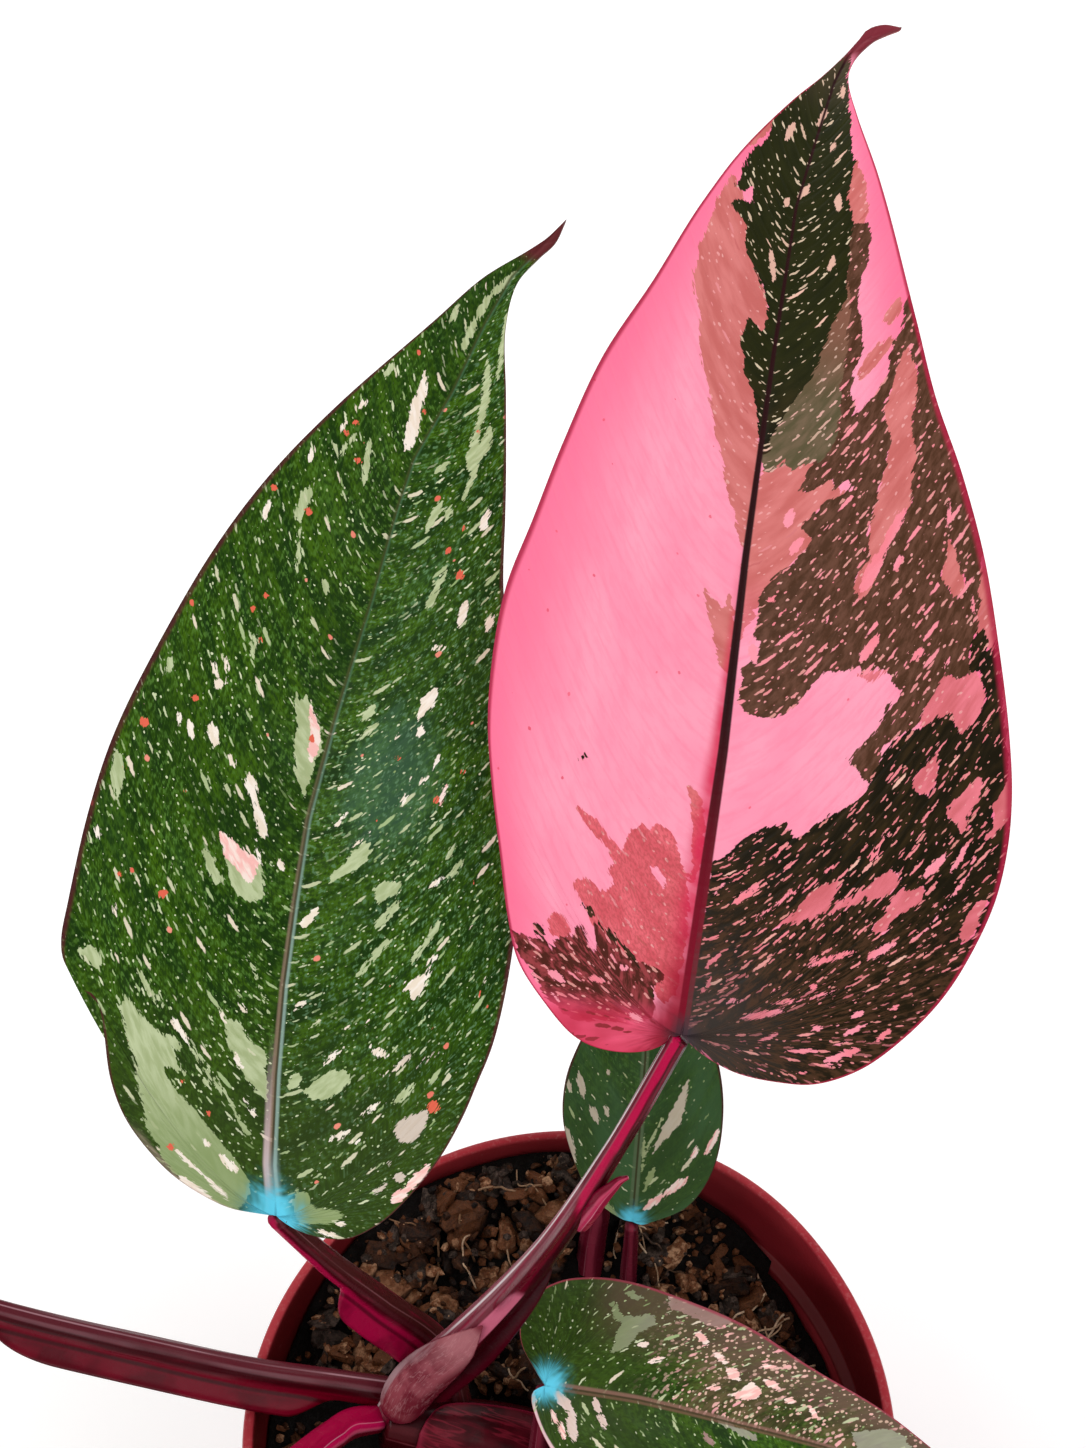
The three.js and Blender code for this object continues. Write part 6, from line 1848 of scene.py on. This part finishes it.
def plain_material(name, color, roughness):
    material = bpy.data.materials.new(name)
    material.use_nodes = True
    shader = material.node_tree.nodes["Principled BSDF"]
    shader.inputs["Base Color"].default_value = (*color, 1)
    shader.inputs["Roughness"].default_value = roughness
    return material, shader


def make_camera():
    data = bpy.data.cameras.new("camera")
    data.lens = CAMERA_LENS
    data.clip_start = 0.01
    camera = bpy.data.objects.new("camera", data)
    camera.location = Vector(CAMERA_PLACE) * MM
    camera.rotation_euler = (np.radians(90 - CAMERA_DOWN), 0, 0)
    bpy.context.scene.collection.objects.link(camera)
    bpy.context.scene.camera = camera


def make_light(name, place, size, power):
    """A soft rectangle of light that faces the plant."""
    data = bpy.data.lights.new(name, "AREA")
    data.shape = "RECTANGLE"
    data.size, data.size_y = size
    data.energy = power
    light = bpy.data.objects.new(name, data)
    light.location = place
    light.rotation_euler = (Vector(LIGHT_TARGET) - Vector(place)).to_track_quat("-Z", "Y").to_euler()
    bpy.context.scene.collection.objects.link(light)


def make_world():
    world = bpy.data.worlds.new("studio")
    world.use_nodes = True
    background = world.node_tree.nodes["Background"]
    background.inputs["Color"].default_value = (1, 1, 1, 1)
    background.inputs["Strength"].default_value = WORLD_LIGHT
    bpy.context.scene.world = world


def make_floor():
    half = FLOOR_SIZE / 2
    mesh = bpy.data.meshes.new("floor")
    corners = [(-half, -half, 0), (half, -half, 0), (half, half, 0), (-half, half, 0)]
    mesh.from_pydata(corners, [], [(0, 1, 2, 3)])
    floor = bpy.data.objects.new("floor", mesh)
    bpy.context.scene.collection.objects.link(floor)
    paper, shader = plain_material("floor_pale", (0.94, 0.94, 0.94), 0.8)
    shader.inputs["Emission Color"].default_value = (1, 1, 1, 1)
    shader.inputs["Emission Strength"].default_value = FLOOR_GLOW
    mesh.materials.append(paper)


def add_piece(piece, material, slot, *nodes):
    """Give a piece its material, and let it stand for its solids; the slot is not used."""
    piece.data.materials.append(material)
    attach(piece, "root")
    if nodes:
        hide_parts(*nodes)


make_camera()
make_world()
make_light("key", (-0.75, -0.15, 1.0), (0.9, 0.9), 6)
make_light("fill", (0.8, -0.3, 0.9), (0.9, 0.9), 3.6)
make_light("back", (0.1, 0.9, 0.8), (1.2, 0.5), 3.6)
make_floor()
bpy.context.scene.view_settings.view_transform = "Standard"

pink_leaf = pink_leaf_material()
green_leaf = green_leaf_material("leaf_green_marbled", "coral spots", 1.0, 1.0)
browned_leaf = green_leaf_material("leaf_green_browned", "brown flush", 0.7, 0.78)
blue_leaf = green_leaf_material("leaf_green_blue", "blue sheen", 0.35, 0.62)
for name, leaf, marks, ribs, rows, material, slot in (
    ("a", LEAF_A, MARKS_A, 210, 68, pink_leaf, "leaf_pink"),
    ("b", LEAF_B, MARKS_B, 210, 68, green_leaf, "leaf_green"),
    ("c", LEAF_C, MARKS_C, 60, 24, green_leaf, "leaf_green"),
    ("d", LEAF_D, MARKS_D, 120, 44, browned_leaf, "leaf_green"),
    ("f", LEAF_F, MARKS_F, 90, 36, blue_leaf, "leaf_green"),
):
    add_piece(build_leaf("blade_" + name, leaf, marks, ribs, rows), material, slot, "leaf_" + name)

# Each stalk's tones at the left, in the middle, at the right and of its painted gloss highlight, and where
# that lies
dark_red, crimson, wine, bright = [stalk_material("stalk_" + tone, *rest) for tone, *rest in (
    ("dark_red", (0.38, 0.003, 0.05), (0.055, 0.001, 0.005), (0.06, 0.01, 0.01), (0.26, 0.1, 0.11), 0.6),
    ("crimson", (0.15, 0.0003, 0.011), (0.045, 0.001, 0.004), (0.1, 0.012, 0.02), (0.5, 0.27, 0.31), 0.86),
    ("wine", (0.12, 0.006, 0.018), (0.24, 0.025, 0.05), (0.09, 0.005, 0.014), (0.4, 0.12, 0.16), -0.4),
    ("bright", (0.14, 0.001, 0.012), (0.58, 0.006, 0.09), (0.36, 0.002, 0.045), (0.9, 0.42, 0.55), 0.25),
)]
flap_pink = stalk_material(
    "flap_pink", (0.16, 0.001, 0.018), (0.46, 0.03, 0.09), (0.26, 0.004, 0.035), (0.72, 0.36, 0.43), 0.3,
)
stem_skin = stalk_material(
    "stem_skin", (0.03, 0.001, 0.003), (0.06, 0.003, 0.006), (0.035, 0.001, 0.003), (0.2, 0.04, 0.05), 0.3,
)
for name, stalk, rings, sides, wings, material, slot, node in (
    ("winged_stalk_a", STALK_A, 150, 144, WINGS_A, first_stalk_material(), "stalk_a", "petiole_a"),
    ("winged_stalk_b", STALK_B, 110, 120, WINGS_B, dark_red, "dark_stalk", "petiole_b"),
    ("winged_stalk_c", STALK_C, 130, 120, WINGS_C, crimson, "dark_stalk", "petiole_c"),
    ("short_stalk_d", STALK_D, 50, 48, [], wine, "pink_stalk", "petiole_d"),
    ("thin_stalk_f", STALK_F, 50, 40, [], wine, "pink_stalk", "petiole_f"),
    ("rolled_spike", SPIKE, 110, 64, [], bright, "bright_stalk", "new_leaf_spike"),
    ("side_shoot_skin", SIDE_SHOOT, 60, 56, [], wine, "pink_stalk", "side_shoot"),
    ("leaning_stem", STEM, 90, 72, [], stem_skin, "stem_skin", "stem"),
):
    add_piece(build_stalk(name, stalk, rings, sides, wings), material, slot, node)
add_piece(build_stalk("sheath_hook", HOOK, 40, 32), flap_pink, "stalk_a")
cataphyll = build_shell("pale_cataphyll", STALK_A, CATAPHYLL, 70, 60)
add_piece(cataphyll, cataphyll_material(), "pale_sheath", "cataphyll_a")
old_sheath = build_shell("dark_old_sheath", STEM, OLD_SHEATH, 70, 60)
add_piece(old_sheath, old_sheath_material(), "dark_sheath", "old_sheath")

ground = Ground()
feet = stalk_feet()
peat = soil_material("soil_peat", (0.002, 0.0008, 0.0004), (0.01, 0.004, 0.002), (0.06, 0.026, 0.014), 0.85)
bark = soil_material("soil_bark", (0.004, 0.0015, 0.0008), (0.14, 0.047, 0.017), (0.46, 0.25, 0.14), 0.5)
fibre = soil_material("soil_fibre", (0.2, 0.1, 0.05), (0.5, 0.32, 0.2), (0.75, 0.58, 0.42), 0.75)
add_piece(build_pot(), pot_material(), "pot_plastic", "pot")
add_piece(build_soil(), peat, "bark_soil", "soil")
add_piece(build_bark(ground, feet), bark, "bark_soil")
add_piece(build_crumbs(ground, feet), bark, "bark_soil")
add_piece(build_fibres(ground, feet), fibre, "bark_soil")
